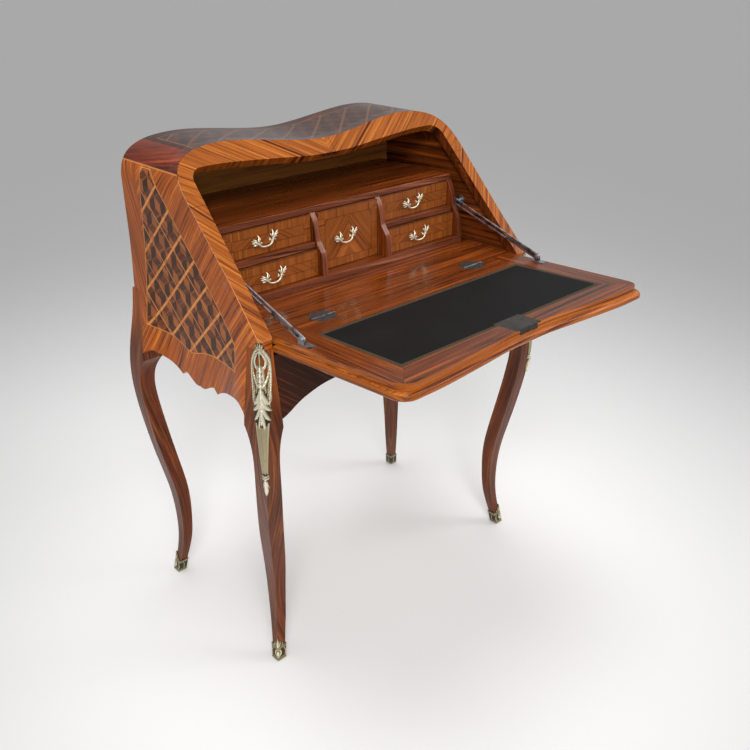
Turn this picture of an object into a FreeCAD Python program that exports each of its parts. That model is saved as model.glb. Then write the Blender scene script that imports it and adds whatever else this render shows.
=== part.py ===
import FreeCAD, Part

import math
import os

import Sketcher
from FreeCAD import Vector

# A small writing desk with cabriole legs, a sloping fall front that opens into
# the writing surface, a fitted interior of five drawers and a frieze drawer.
# X runs to the right, Y to the back, Z up, in millimetres. While the pieces are
# drawn, Y is zero at the flat front plane of the carcass; every piece is then
# moved by origin_shift, so that the origin lies on the floor under the middle.

SIZES = (
    # carcass
    ("carcass_half", 343), ("carcass_depth", 414), ("top_height", 978), ("bed_drop", 271.5), ("bed_thickness", 16.5),
    ("shoulder_drop", 73), ("side_wall", 22), ("post_width", 22), ("post_depth", 31),
    ("back_thickness", 14), ("back_inset", 3), ("apron_drop", 106.5),
    # legs
    ("frieze_drop", 161.5), ("knee_bulge", 25), ("leg_width", 33), ("foot_splay", 6.5), ("foot_tuck", 5.5),
    ("side_arch_rise", 30),
    # sloping front
    ("slant_angle", 46), ("rest_raise", 3), ("hinge_setback", 12.6), ("frame_depth", 20),
    ("stile_drop", 6.5), ("stile_low_width", 24), ("stile_high_width", 32),
    ("opening_corner", 28), ("joint_back", 50), ("fall_gap", 3), ("edge_gap", 0.4),
    # fall
    ("fall_core", 13), ("fall_outer", 12.5), ("fall_rim", 55.7), ("fall_shoulder", 19),
    ("lip_width", 8), ("lip_start", 20), ("lip_round", 4.5),
    ("leather_side", 50), ("leather_low", 62), ("leather_end", 36), ("leather_thickness", 1.2),
    # hinges
    ("hinge_side", 122), ("hinge_half", 27), ("head_depth", 1.2), ("leaf_reach", 24), ("leaf_thickness", 2),
    ("leaf_tip_half", 16), ("knuckle_radius", 2.6), ("knuckle_gap", 0.5), ("pin_radius", 1.3),
    ("pin_gap", 0.2), ("knuckle_half", 9), ("screw_head", 2.4), ("screw_shank", 1.3), ("screw_length", 9),
    ("screw_side", 15), ("screw_reach", 10),
    # lock
    ("lock_half", 33), ("lock_length", 50), ("plate_thickness", 1.6), ("lock_case_half", 24),
    ("lock_case_depth", 9), ("bolt_half", 11), ("bolt_thickness", 3.6), ("bolt_length", 26),
    ("bolt_throw", 8), ("bolt_depth", 4.2), ("slide_gap", 0.3), ("key_radius", 2.6), ("key_back", 22),
    ("escutcheon_half", 13), ("escutcheon_height", 20), ("escutcheon_thickness", 1.5),
    ("strike_half", 20), ("strike_depth", 5.5), ("strike_thickness", 1.5), ("mortise_gap", 1),
    # stays
    ("stay_side", 18), ("stay_thickness", 3), ("stay_width", 13), ("stay_length", 239),
    ("stay_angle", 17.6), ("stay_foot", 80), ("stay_lift", 9), ("stay_pin", 2), ("ear_gap", 1),
    ("ear_thickness", 2.6), ("ear_half", 6), ("foot_plate_back", 8), ("foot_plate_front", 24),
    ("foot_plate_width", 14), ("foot_plate_thickness", 1.5), ("slot_start", 86), ("pin_head", 3.6),
    ("pin_head_thickness", 1.6),
    ("stud_radius", 3.2), ("stud_end_gap", 0.8), ("stud_plate_half", 10), ("stud_plate_thickness", 2),
    # fitted interior
    ("case_side", 20), ("case_base", 14), ("partition", 12), ("shelf", 12),
    ("middle_half", 78), ("low_row", 52), ("high_row", 53), ("case_lid", 12),
    ("base_front", 137), ("low_setback", 14.6), ("high_setback", 34.6), ("middle_setback", 29.6),
    ("shelf_setback", 23), ("lid_setback", 39), ("drawer_gap", 1), ("front_thickness", 13),
    ("box_wall", 6), ("box_floor", 4), ("box_back_gap", 8), ("box_drop", 6),
    ("handle_half", 15), ("handle_span", 31), ("handle_reach", 11), ("handle_wire", 2.2), ("handle_post", 2.0),
    ("handle_dip", 6), ("handle_drop", 3.8), ("handle_shift", 13), ("rosette_radius", 5.5), ("rosette_thickness", 1.6),
    # frieze drawer
    ("rail_height", 14), ("rail_depth", 36), ("frieze_front_thickness", 20), ("frieze_arch", 55),
    ("frieze_box_side", 16), ("frieze_box_height", 52), ("frieze_box_back", 47),
    ("runner_width", 36), ("runner_height", 14), ("frieze_wall", 10), ("frieze_floor", 6),
    # gilt mounts
    ("shield_half", 12), ("shield_height", 17), ("shield_thickness", 1.2), ("shield_drop", 62.5),
    ("sabot_wall", 1.6), ("sabot_height", 52), ("mount_drop", 22.5), ("mount_length", 264),
    ("mount_radius", 18), ("mount_inset", 6),
    # one overrun for every cut
    ("overrun", 40),
)

DERIVED = (
    ("inner_half", "=carcass_half - side_wall"),
    ("post_inner", "=carcass_half - post_width"),
    ("bed_top", "=top_height - bed_drop"),
    ("spring_height", "=top_height - shoulder_drop"),
    ("knee_height", "=bed_top - frieze_drop"),
    ("back_apron_low", "=bed_top - apron_drop"),
    ("stile_foot", "=bed_top - stile_drop"),
    ("opening_half_low", "=carcass_half - stile_low_width"),
    ("opening_half_high", "=carcass_half - stile_high_width"),
    ("fall_length", "=(bed_drop - fall_rim) / sin(slant_angle)"),
    ("frame_joint", "=fall_length - joint_back"),
    ("leather_half", "=opening_half_high - leather_side"),
    ("leather_high", "=fall_length - leather_end"),
    ("hinge_place", "=opening_half_low - hinge_side"),
    ("stay_plane", "=inner_half - stay_side"),
    ("case_half", "=inner_half - case_side"),
    ("low_front", "=base_front + low_setback"),
    ("high_front", "=base_front + high_setback"),
    ("middle_front", "=base_front + middle_setback"),
    ("shelf_front", "=base_front + shelf_setback"),
    ("lid_front", "=base_front + lid_setback"),
    ("bed_bottom", "=bed_top - bed_thickness"),
    ("back_face", "=carcass_depth - back_inset"),
    ("back_front", "=back_face - back_thickness"),
    ("case_floor", "=bed_top + case_base"),
    ("low_top", "=case_floor + low_row"),
    ("high_floor", "=low_top + shelf"),
    ("high_top", "=high_floor + high_row"),
    ("lid_top", "=high_top + case_lid"),
    ("wall_inner", "=case_half - partition"),
    ("middle_outer", "=middle_half + partition"),
    ("rail_low", "=bed_bottom - rail_height"),
    ("frieze_box_top", "=rail_low - box_drop"),
    ("frieze_box_low", "=frieze_box_top - frieze_box_height"),
    ("frieze_box_half", "=post_inner - frieze_box_side"),
    ("frieze_box_depth", "=back_front - frieze_box_back - frieze_front_thickness"),
    ("shield_place", "=bed_top - shield_drop"),
    ("mount_top", "=bed_top - mount_drop"),
    ("stay_outer", "=stay_plane + stay_thickness"),
    ("ear_inner", "=stay_outer + ear_gap"),
    ("ear_outer", "=ear_inner + ear_thickness"),
    ("stud_room", "=stud_radius + pin_gap"),
    ("pivot_y", "=hinge_setback - stay_foot * cos(rest_raise) + stay_lift * sin(rest_raise)"),
    ("pivot_z", "=bed_top + stay_foot * sin(rest_raise) + stay_lift * cos(rest_raise)"),
    ("stud_y", "=pivot_y + stay_length * cos(stay_angle)"),
    ("stud_z", "=pivot_z + stay_length * sin(stay_angle)"),
    ("lock_back", "=fall_length - lock_length"),
    ("bolt_back", "=fall_length - slide_gap - bolt_length"),
    ("bed_notch", "=(frame_depth - fall_core) / sin(slant_angle)"),
    ("trough_radius", "=knuckle_radius + knuckle_gap"),
    ("leaf_seam", "=trough_radius + leaf_thickness"),
    ("bolt_centre", "=bolt_depth + bolt_thickness / 2"),
    ("key_place", "=fall_length - key_back"),
    ("fall_thickness", "=fall_core + fall_outer"),
    ("opening_end", "=fall_length + fall_gap"),
    ("front_reach", "=(fall_length + fall_shoulder + lip_width) * cos(rest_raise)"
                    " + (fall_core + fall_outer) * sin(rest_raise) - hinge_setback"),
    ("back_reach", "=carcass_depth + knee_bulge"),
    ("origin_shift", "=(front_reach - back_reach) / 2"),
)

# The curve of the leg's outer corner, from the foot to where the knee dies into
# the carcass: height as a share of knee_height, bulge as a share of knee_bulge.
OUTER_SHARES = ((0.0, -0.12), (0.073, -0.36), (0.165, -0.62), (0.275, -0.68), (0.404, -0.48),
                (0.55, 0.06), (0.697, 0.58), (0.807, 0.88), (0.917, 1.0), (1.028, 0.86),
                (1.156, 0.46), (1.295, 0.18), (1.444, 0.0))
# The width of the leg at the same heights, as a share of leg_width.
WIDTH_SHARES = ((0.0, 0.5), (0.073, 0.55), (0.165, 0.65), (0.275, 0.745), (0.404, 0.88),
                (0.55, 0.98), (0.697, 1.01), (0.807, 1.0), (0.917, 1.05))
# How far a leg leans at those heights, as a share of foot_splay and foot_tuck.
LEAN_SHARES = ((0.0, 1.0), (0.073, 1.0), (0.165, 1.0), (0.275, 1.0), (0.404, 0.88), (0.55, 0.72),
               (0.697, 0.35), (0.807, 0.07), (0.917, 0.0))
# The serpentine top, from the spring of the shoulder to the middle: width as a
# share of carcass_half, height as a share of the rise above spring_height.
TOP_SHARES = ((1.0, 0.0), (0.998, 0.16), (0.989, 0.36), (0.965, 0.58), (0.915, 0.775), (0.84, 0.91), (0.74, 0.98),
              (0.62, 0.995), (0.45, 0.93), (0.225, 0.795), (0.0, 0.72))
# The cavity below it, as shares of inner_half and of the same rise.
CAVITY_SHARES = ((1.0, 0.0), (0.995, 0.1), (0.979, 0.22), (0.94, 0.39), (0.87, 0.54), (0.77, 0.64), (0.64, 0.675),
                 (0.45, 0.61), (0.225, 0.48), (0.0, 0.41))
# The end of the fall: width as a share of opening_half_high, length beyond
# fall_length as a share of fall_shoulder.
FALL_SHARES = ((0.0, 0.0), (0.13, 0.02), (0.32, 0.31), (0.48, 0.58), (0.61, 0.79), (0.74, 0.96),
               (0.835, 1.0))
# The lower edge of a side, from its middle to the leg: place as a share of half
# the clear width between the posts, height above knee_height as a share of
# side_arch_rise.
SCALLOP_SHARES = ((0.0, 0.07), (0.12, 0.12), (0.25, 0.5), (0.28, 0.53), (0.34, 0.22), (0.52, 0.75),
                  (0.7, 1.0), (0.86, 1.08), (0.94, 0.92), (1.0, 0.6))
# The lower edge of the frieze drawer, from its end to the middle: place as a
# share of post_inner, height above knee_height as a share of frieze_arch.
ARCH_SHARES = ((1.0, 0.28), (0.93, 0.46), (0.87, 0.63), (0.8, 0.76), (0.72, 0.87), (0.6, 0.94),
               (0.4, 0.98), (0.0, 1.0))
# Where the outer face of a side begins on the curve of the legs.
FLANK_SHARE = 0.8
# How much of the knee's bulge the side keeps at a share of its clear width.
FADE_SHARES = ((0.0, 1.0), (0.08, 0.8), (0.17, 0.4), (0.27, 0.08), (0.36, 0.0), (0.5, 0.0),
               (0.64, 0.0), (0.73, 0.08), (0.83, 0.4), (0.92, 0.8), (1.0, 1.0))
# A corner mount from top to tip: height as a share of its length, radius as a
# share of mount_radius.
MOUNT_SHARES = ((0.0, 0.78), (0.06, 0.93), (0.13, 1.0), (0.24, 0.86), (0.34, 0.9), (0.45, 0.72), (0.58, 0.58),
                (0.7, 0.46), (0.83, 0.34), (0.9, 0.42), (0.95, 0.27), (1.0, 0.12))
# The front edge of a case partition: height as a share of the case's height,
# place as a share of the way from lid_front to base_front.
EDGE_SHARES = ((1.0, 0.05), (0.85, 0.3), (0.7, 0.42), (0.55, 0.5), (0.4, 0.82), (0.2, 0.95), (0.0, 1.0))
# A drawer pull seen from the front, from its tip to the middle: place as a share
# of handle_span, drop as a share of handle_dip, radius as a share of handle_wire.
PULL_SHARES = ((1.0, -2.1, 0.6), (0.87, -1.3, 1.25), (0.68, -0.45, 1.3), (0.48, 0.0, 1.0), (0.25, 0.8, 0.95),
               (0.0, 1.0, 1.25))
# How many rings shape a pull for each row of the table.
PULL_RINGS = 3

doc = FreeCAD.newDocument("WritingDesk")
sheet = doc.addObject("Spreadsheet::Sheet", "Sizes")
for row, (alias, content) in enumerate(SIZES + DERIVED, start=1):
    sheet.set("A%d" % row, alias)
    sheet.set("B%d" % row, str(content))
    sheet.setAlias("B%d" % row, alias)
doc.recompute()
ALIASES = sorted((alias for alias, content in SIZES + DERIVED), key=len, reverse=True)
nodes = {}


def size(alias):
    """The value of one cell of the sheet; a leading minus turns its sign."""
    if alias.startswith("-"):
        return -size(alias[1:])
    return 0.0 if alias == "0" else float(sheet.get(alias))


def linked(expression):
    """The expression with each alias written as a cell of the sheet."""
    words, word = [], ""
    for letter in expression + " ":
        if letter.isalnum() or letter == "_":
            word += letter
            continue
        words.append("Sizes." + word if word in ALIASES else word)
        words.append(letter)
        word = ""
    return "".join(words).strip()


def bind(thing, prop, expression):
    thing.setExpression(prop, linked(expression))


LEVEL = "placement(vector(0; origin_shift; 0); rotation(vector(1; 0; 0); 0))"
HINGE = "placement(vector(0; hinge_setback + origin_shift; bed_top); rotation(vector(1; 0; 0); %s))"
SLANTED = HINGE % "slant_angle"
LEANING = SLANTED.replace(" + origin_shift", "")
OPEN = HINGE % "180 - rest_raise"


def node(thing, label, frame=LEVEL):
    """Give a finished piece its name and its place on the desk."""
    thing.Label = label
    bind(thing, "Placement", frame)
    nodes[label] = thing
    return thing


def box(name, wide, deep, tall):
    """A block between pairs of expressions along X, Y and Z."""
    block = doc.addObject("Part::Box", name)
    for prop, axis, (low, high) in zip(("Length", "Width", "Height"), "xyz", (wide, deep, tall)):
        bind(block, prop, "(%s) - (%s)" % (high, low))
        bind(block, "Placement.Base." + axis, low)
    return block


def rod(name, radius, length, place, turn):
    """A round rod from a point, along a direction given by a rotation."""
    piece = doc.addObject("Part::Cylinder", name)
    bind(piece, "Radius", radius)
    bind(piece, "Height", length)
    bind(piece, "Placement", "placement(vector(%s; %s; %s); rotation(vector(%s); %s))" % (place + turn))
    return piece


ALONG_X = ("0; 1; 0", "90")
ALONG_Y = ("1; 0; 0", "-90")
ALONG_Z = ("0; 0; 1", "0")


def cut(name, base, *tools):
    """The base less every tool."""
    joined = tools[0] if len(tools) == 1 else fuse(name + "Tools", *tools)
    piece = doc.addObject("Part::Cut", name)
    piece.Base = base
    piece.Tool = joined
    return piece


def fuse(name, *parts):
    piece = doc.addObject("Part::MultiFuse", name)
    piece.Shapes = list(parts)
    return piece


def common(name, *parts):
    piece = doc.addObject("Part::MultiCommon", name)
    piece.Shapes = list(parts)
    return piece


def group(name, *parts):
    """Separate solids kept together, such as a pair of hinge leaves."""
    piece = doc.addObject("Part::Compound", name)
    piece.Links = list(parts)
    return piece


def shaped(name, shape):
    piece = doc.addObject("Part::Feature", name)
    piece.Shape = shape
    return piece


def curve(points):
    """One smooth edge through the points."""
    line = Part.BSplineCurve()
    line.interpolate(points)
    return line.toShape()


def lines(points):
    return [Part.makeLine(a, b) for a, b in zip(points, points[1:])]


def face(edges):
    return Part.Face(Part.Wire(Part.__sortEdges__(edges)))


def prism(name, outline, direction, low, high):
    """An outline pushed out along an axis, between two expressions."""
    base = shaped(name + "Outline", outline)
    axis = "xyz"[(direction.x, direction.y, direction.z).index(1)]
    bind(base, "Placement.Base." + axis, low)
    piece = doc.addObject("Part::Extrusion", name)
    piece.Base = base
    piece.DirMode = "Custom"
    piece.Dir = direction
    piece.Solid = True
    bind(piece, "LengthFwd", "(%s) - (%s)" % (high, low))
    return piece


X_AXIS, Y_AXIS, Z_AXIS = Vector(1, 0, 0), Vector(0, 1, 0), Vector(0, 0, 1)


def plane_of(body, role):
    """One of the body's own datum planes."""
    return next(datum for datum in body.Origin.OriginFeatures if datum.Role == role)


def sketch(body, name, points, height=None):
    """A closed outline of straight lines on the body's XY plane. Every corner is
    held by two distances to the origin, each a cell of the sheet."""
    drawing = body.newObject("Sketcher::SketchObject", name)
    drawing.AttachmentSupport = [(plane_of(body, "XY_Plane"), "")]
    drawing.MapMode = "FlatFace"
    if height is not None:
        bind(drawing, "AttachmentOffset.Base.z", height)
    places = [Vector(size(x), size(y), 0) for x, y in points]
    count = len(points)
    for index in range(count):
        drawing.addGeometry(Part.LineSegment(places[index], places[(index + 1) % count]), False)
    for index in range(count):
        drawing.addConstraint(Sketcher.Constraint("Coincident", index, 2, (index + 1) % count, 1))
    for index, (x, y) in enumerate(points):
        for kind, cell in (("DistanceX", x), ("DistanceY", y)):
            value = size(cell)
            number = drawing.addConstraint(Sketcher.Constraint(kind, -1, 1, index, 1, value))
            if cell != "0":
                bind(drawing, "Constraints[%d]" % number, cell)
    return drawing


def pad(body, drawing, length, name):
    feature = body.newObject("PartDesign::Pad", name)
    feature.Profile = drawing
    bind(feature, "Length", length)
    return feature


# Curves shared by the carcass, the legs and the fall

def bulge(height):
    """How far the knee stands out of the flat carcass at a height."""
    return share_at(OUTER_SHARES, height / size("knee_height")) * size("knee_bulge")


def share_at(table, place):
    """A table read between its rows, and zero outside them."""
    for (low, first), (high, last) in zip(table, table[1:]):
        if low <= place <= high:
            return first + (last - first) * (place - low) / (high - low)
    return 0.0


def outer_points(low_share=0.0, fade=1.0):
    """Points (stand-out, height) up the outer corner of the legs."""
    return [(bulge_share * fade * size("knee_bulge"), share * size("knee_height"))
            for share, bulge_share in OUTER_SHARES if share >= low_share]


def lean(height):
    """How much of its lean a leg has at a height."""
    return share_at(LEAN_SHARES, height / size("knee_height"))


def leg_outline(place, lean_by, post, thicker=0.0):
    """The sawn profile of a leg; place puts (stand-out, height) into space."""
    def stand(out, tall):
        return place(out + lean(tall) * lean_by, tall)
    outer = [stand(out + thicker, tall) for out, tall in outer_points()]
    inner = [stand(out - share * size("leg_width") - thicker, tall)
             for (out, tall), (level, share) in zip(outer_points(), WIDTH_SHARES)]
    inner.append(place(-post - thicker, size("knee_height")))
    roof = outer_points()[-1][1]
    corner = place(-post - thicker, roof)
    edges = [curve(outer), curve(inner)]
    edges += lines([inner[-1], corner, outer[-1]]) + lines([inner[0], outer[0]])
    return face(edges)


def leg_block(name, side, front, low, high, thicker=0.0):
    """A leg or its shoe: two sawn profiles, one seen from the front and one
    from the side, kept where they meet between two heights."""
    half, depth = size("carcass_half"), size("carcass_depth")
    from_front = leg_outline(lambda out, tall: Vector(side * (half + out), 0, tall), size("foot_splay"),
                             size("post_width"), thicker)
    start, way = (0, -1) if front else (depth, 1)
    from_side = leg_outline(lambda out, tall: Vector(0, start + way * out, tall), -size("foot_tuck"),
                            size("post_depth"), thicker)
    return common(
        name,
        prism(name + "Front", from_front, Y_AXIS, "-overrun * 2", "carcass_depth + overrun * 2"),
        prism(name + "Side", from_side, X_AXIS, "-carcass_half - overrun * 2", "carcass_half + overrun * 2"),
        box(name + "Span", ("-carcass_half - overrun * 2", "carcass_half + overrun * 2"),
            ("-overrun * 2", "carcass_depth + overrun * 2"), (low, high)),
    )


def top_points(shares, half, lift=0.0):
    rise = size("top_height") - size("spring_height")
    right = [Vector(share * half, 0, size("spring_height") + lift + level * rise) for share, level in shares]
    left = [Vector(-point.x, 0, point.z) for point in reversed(right[:-1])]
    return right + left


def envelope_outline():
    """The front silhouette of the carcass above the legs."""
    half = size("carcass_half")
    roof = top_points(TOP_SHARES, half)
    flank = [(out, tall) for out, tall in outer_points(FLANK_SHARE)]
    right = [Vector(half + out, 0, tall) for out, tall in flank]
    left = [Vector(-point.x, 0, point.z) for point in right]
    edges = [curve(roof), curve(right), curve(left)]
    edges += lines([right[-1], roof[0]]) + lines([roof[-1], left[-1]]) + lines([left[0], right[0]])
    return face(edges)


def cavity_outline():
    """The front silhouette of the hollow inside."""
    half, floor = size("inner_half"), size("bed_bottom")
    roof = top_points(CAVITY_SHARES, half)
    edges = [curve(roof)]
    edges += lines([roof[-1], Vector(-half, 0, floor), Vector(half, 0, floor), roof[0]])
    return face(edges)


def fall_outline(grow, start):
    """The fall or its opening, seen square to the slope: x across, y along the
    fall from the hinge line. grow moves the three free edges outwards."""
    hinge_half = size("opening_half_low") - size("fall_gap") + grow
    high_half = size("opening_half_high") - size("fall_gap") + grow
    width = size("opening_half_high")
    reach, extra = size("fall_length") + grow, size("fall_shoulder")
    end = [Vector(share * width, reach + rise * extra, 0) for share, rise in FALL_SHARES]
    turn = size("opening_corner")
    corner = Vector(high_half, reach + extra - turn, 0)
    low_half = hinge_half + (high_half - hinge_half) * start / corner.y
    far = [Vector(-point.x, point.y, 0) for point in reversed(end[1:])] + end
    middle = Vector(high_half - turn * (1 - math.cos(math.pi / 4)),
                    corner.y + turn * math.sin(math.pi / 4), 0)
    lead = Vector(high_half - turn, reach + extra, 0)
    edges = [curve(far)]
    for side in (1, -1):
        flip = lambda point: Vector(side * point.x, point.y, 0)
        edges += lines([flip(end[-1]), flip(lead)])
        edges.append(Part.Arc(flip(lead), flip(middle), flip(corner)).toShape())
        edges += lines([flip(corner), flip(Vector(low_half, start, 0))])
    edges += lines([Vector(-low_half, start, 0), Vector(low_half, start, 0)])
    return face(edges)


# Legs and their gilt shoes

LEGS = (("front_left", -1, True), ("front_right", 1, True), ("back_left", -1, False), ("back_right", 1, False))
for corner_name, side, front in LEGS:
    leg = leg_block("Leg" + corner_name, side, front, "sabot_wall", "bed_bottom")
    node(leg, corner_name + "_leg")
    shoe = leg_block("Shoe" + corner_name, side, front, "0", "sabot_height", size("sabot_wall"))
    core = leg_block("Ankle" + corner_name, side, front, "sabot_wall", "sabot_height + overrun")
    node(cut("Sabot" + corner_name, shoe, core), corner_name + "_sabot")

# Corner mounts on the knees of the two front legs
for side, side_name in ((-1, "left"), (1, "right")):
    rings = []
    for level, share in MOUNT_SHARES:
        tall = size("mount_top") - level * size("mount_length")
        out = bulge(tall) - share * size("mount_inset")
        spot = Vector(side * (size("carcass_half") + out + lean(tall) * size("foot_splay")),
                      lean(tall) * size("foot_tuck") - out, tall)
        ring = Part.makeCircle(share * size("mount_radius"), spot, Z_AXIS)
        rings.append(Part.Wire([ring]))
    blank = shaped("MountBlank" + side_name, Part.makeLoft(rings, True, False))
    knee = leg_block("Knee" + side_name, side, True, "sabot_wall", "bed_bottom")
    node(cut("Mount" + side_name, blank, knee), side_name + "_corner_mount")

# The sloping frame of the carcass: two stiles and a top rail
envelope = prism("Envelope", envelope_outline(), Y_AXIS, "-overrun * 2", "carcass_depth")


def frame_blank(name, low, high):
    """A slab in the plane of the slope, less the opening for the fall, laid in
    the desk and cut to the silhouette of the carcass."""
    slab = box(name + "Slab", ("-carcass_half - overrun", "carcass_half + overrun"), (low, high),
               ("fall_core - frame_depth", "fall_core"))
    hole = prism(name + "Hole", fall_outline(size("fall_gap"), -size("overrun")), Z_AXIS,
                 "fall_core - frame_depth - overrun", "fall_core + overrun")
    ring = cut(name + "Ring", slab, hole)
    bind(ring, "Placement", LEANING)
    return ring


stile_ring = frame_blank("Stile", "-overrun * 2", "frame_joint")
for side_name, low_x, high_x in (("left", "-carcass_half - overrun", "0"), ("right", "0", "carcass_half + overrun")):
    half_space = box("StileSide" + side_name, (low_x, high_x), ("-overrun * 4", "carcass_depth"),
                     ("stile_foot", "top_height + overrun"))
    front_face = prism(
        "StileFront" + side_name,
        face([curve([Vector(0, -out, tall) for out, tall in outer_points(FLANK_SHARE)])]
             + lines([Vector(0, 0, outer_points()[-1][1]), Vector(0, 0, size("top_height")),
                      Vector(0, size("carcass_depth"), size("top_height")),
                      Vector(0, size("carcass_depth"), outer_points(FLANK_SHARE)[0][1]),
                      Vector(0, -outer_points(FLANK_SHARE)[0][0], outer_points(FLANK_SHARE)[0][1])])),
        X_AXIS, "-carcass_half - overrun", "carcass_half + overrun")
    node(common("StilePiece" + side_name, stile_ring, envelope, half_space, front_face), side_name + "_stile")
rail_ring = frame_blank("Rail", "frame_joint", "frame_joint + fall_length")
mortise = box("Mortise", ("-bolt_half - mortise_gap", "bolt_half + mortise_gap"),
              ("fall_length", "opening_end + bolt_throw"),
              ("bolt_depth - mortise_gap", "bolt_depth + bolt_thickness + mortise_gap"))
strike_tall = ("bolt_centre - strike_depth", "bolt_centre + strike_depth")
strike_room = box("StrikeRoom", ("-strike_half", "strike_half"), ("fall_length", "opening_end + strike_thickness"),
                  strike_tall)
strike_blank = box("StrikeBlank", ("-strike_half", "strike_half"), ("opening_end", "opening_end + strike_thickness"),
                   strike_tall)
rooms = group("RailRooms", mortise, strike_room)
bind(rooms, "Placement", LEANING)
node(cut("TopRail", common("RailPiece", rail_ring, envelope), rooms), "top_rail")
node(cut("StrikePlate", strike_blank, mortise), "strike_plate", SLANTED)

# Everything in front of the back of the frame, for cutting the boards behind it
before = group("Before", box(
    "BeforeBlock", ("-carcass_half - overrun * 2", "carcass_half + overrun * 2"),
    ("-fall_length * 2", "fall_length * 3"), ("fall_core - frame_depth", "fall_length * 3")))
bind(before, "Placement", LEANING)

# Top board, its shoulders curving down to the sides
cavity = prism("Cavity", cavity_outline(), Y_AXIS, "-overrun * 2", "carcass_depth + overrun")
roof_span = box("RoofSpan", ("-carcass_half - overrun", "carcass_half + overrun"), ("0", "carcass_depth"),
                ("spring_height", "top_height + overrun"))
node(cut("TopBoard", common("TopBlank", envelope, roof_span), cavity, before), "top_board")


def side_outline():
    """A side board seen from the side, with its scalloped lower edge."""
    posts, depth = size("post_depth"), size("carcass_depth")
    half_span = depth / 2 - posts
    low, rise = size("knee_height"), size("side_arch_rise")
    scallop = [(depth / 2 + share * half_span, low + level * rise) for share, level in SCALLOP_SHARES]
    groups = (scallop[:4], scallop[4:])
    edges = []
    for mirror in (1, -1):
        spot = lambda y, z: Vector(0, depth / 2 + mirror * (y - depth / 2), z)
        for part in groups:
            edges.append(curve([spot(y, z) for y, z in part]))
        edges += lines([spot(*groups[0][-1]), spot(*groups[1][0])])
    deck, roof = size("bed_bottom"), size("spring_height")
    nose = -bulge(size("stile_foot"))
    joint = scallop[-1][1]
    edges += lines([Vector(0, posts, joint), Vector(0, posts, deck), Vector(0, nose, deck),
                    Vector(0, nose, roof), Vector(0, depth, roof), Vector(0, depth, deck),
                    Vector(0, depth - posts, deck), Vector(0, depth - posts, joint)])
    return face(edges)


def side_blank(side):
    """The bombe blank of a side: its outer face swells towards both posts."""
    posts, depth = size("post_depth"), size("carcass_depth")
    span = depth - posts * 2
    half, inner, roof = size("carcass_half"), size("inner_half"), size("spring_height")
    stations = [(-size("overrun"), 1.0)]
    stations += [(posts + share * span, fade) for share, fade in FADE_SHARES]
    stations.append((depth + size("overrun"), 1.0))
    sections = []
    for y, fade in stations:
        outer = [Vector(side * (half + out), y, tall) for out, tall in outer_points(FLANK_SHARE, fade)]
        base = outer[0].z
        edges = [curve(outer)] + lines([outer[-1], Vector(side * half, y, roof),
                                        Vector(side * inner, y, roof), Vector(side * inner, y, base), outer[0]])
        sections.append(Part.Wire(edges))
    return Part.makeLoft(sections, True, False)


# Sides, notched round the posts and the stiles
for side, side_name in ((-1, "left"), (1, "right")):
    blank = shaped("SideBlank" + side_name, side_blank(side))
    edge = prism("SideEdge" + side_name, side_outline(), X_AXIS, "-carcass_half - overrun * 2",
                 "carcass_half + overrun * 2")
    foot = box("SideFoot" + side_name, ("-carcass_half - overrun", "carcass_half + overrun"),
               ("-overrun", "carcass_depth"), ("stile_foot", "top_height"))
    front_low = common("SideFront" + side_name, before, foot)
    board = common("SideBoard" + side_name, blank, edge)
    node(cut("Side" + side_name, board, front_low, box(
        "SideBefore" + side_name, ("-carcass_half - overrun", "carcass_half + overrun"),
        ("-overrun", "carcass_depth"), ("top_height", "top_height + overrun"))), side_name + "_side")

# Back panel in the hollow, and the back apron between the back legs
back_span = box("BackSpan", ("-carcass_half", "carcass_half"), ("back_front", "back_face"),
                ("bed_bottom - overrun", "top_height + overrun"))
node(common("BackPanel", cavity, back_span), "back_panel")
node(group("BackApron", box("BackApronBoard", ("-post_inner", "post_inner"), ("back_front", "back_face"),
                            ("back_apron_low", "bed_bottom"))), "back_apron")


def hinge_pair(name, make):
    """The same small part at both hinges."""
    return [make(name + side_name, sign + "hinge_place") for side_name, sign in (("Left", "-"), ("Right", ""))]


def knuckle_room(name, centre):
    """The round trough that both edges leave for a hinge knuckle."""
    return rod(name, "trough_radius", "(hinge_half + knuckle_gap) * 2",
               ("%s - hinge_half - knuckle_gap" % centre, "0", "0"), ALONG_X)


def leaf_outline(centre, near):
    """A hinge leaf seen from above, straight beside the pin and then narrowing."""
    half, tip, reach, seam = size("hinge_half"), size("leaf_tip_half"), size("leaf_reach"), size("leaf_seam")
    right = [(half, near), (half, seam), (tip, reach)]
    points = [Vector(centre + x, y, 0) for x, y in right + [(-x, y) for x, y in reversed(right)]]
    return face(lines(points + points[:1]))


def screw_places():
    """The two screws of each leaf, as (name, x, y) expressions."""
    for side_name, sign in (("Left", "-"), ("Right", "")):
        for end_name, step in (("A", " - screw_side"), ("B", " + screw_side")):
            yield side_name + end_name, sign + "hinge_place" + step, "screw_reach"


def upright(name, radius, x, y, low, high):
    """A rod square to a leaf, between two depths."""
    return rod(name, radius, "(%s) - (%s)" % (high, low), (x, y, low), ALONG_Z)


def leaf_recesses(name, low, high):
    """Everything that a board gives up for its two hinge leaves and screws."""
    rooms = hinge_pair(name + "Trough", knuckle_room)
    for side_name, sign in (("Left", -1), ("Right", 1)):
        plate = leaf_outline(sign * size("hinge_place"), -size("knuckle_radius"))
        rooms.append(prism(name + "Recess" + side_name, plate, Z_AXIS, low, high))
    return rooms


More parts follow.
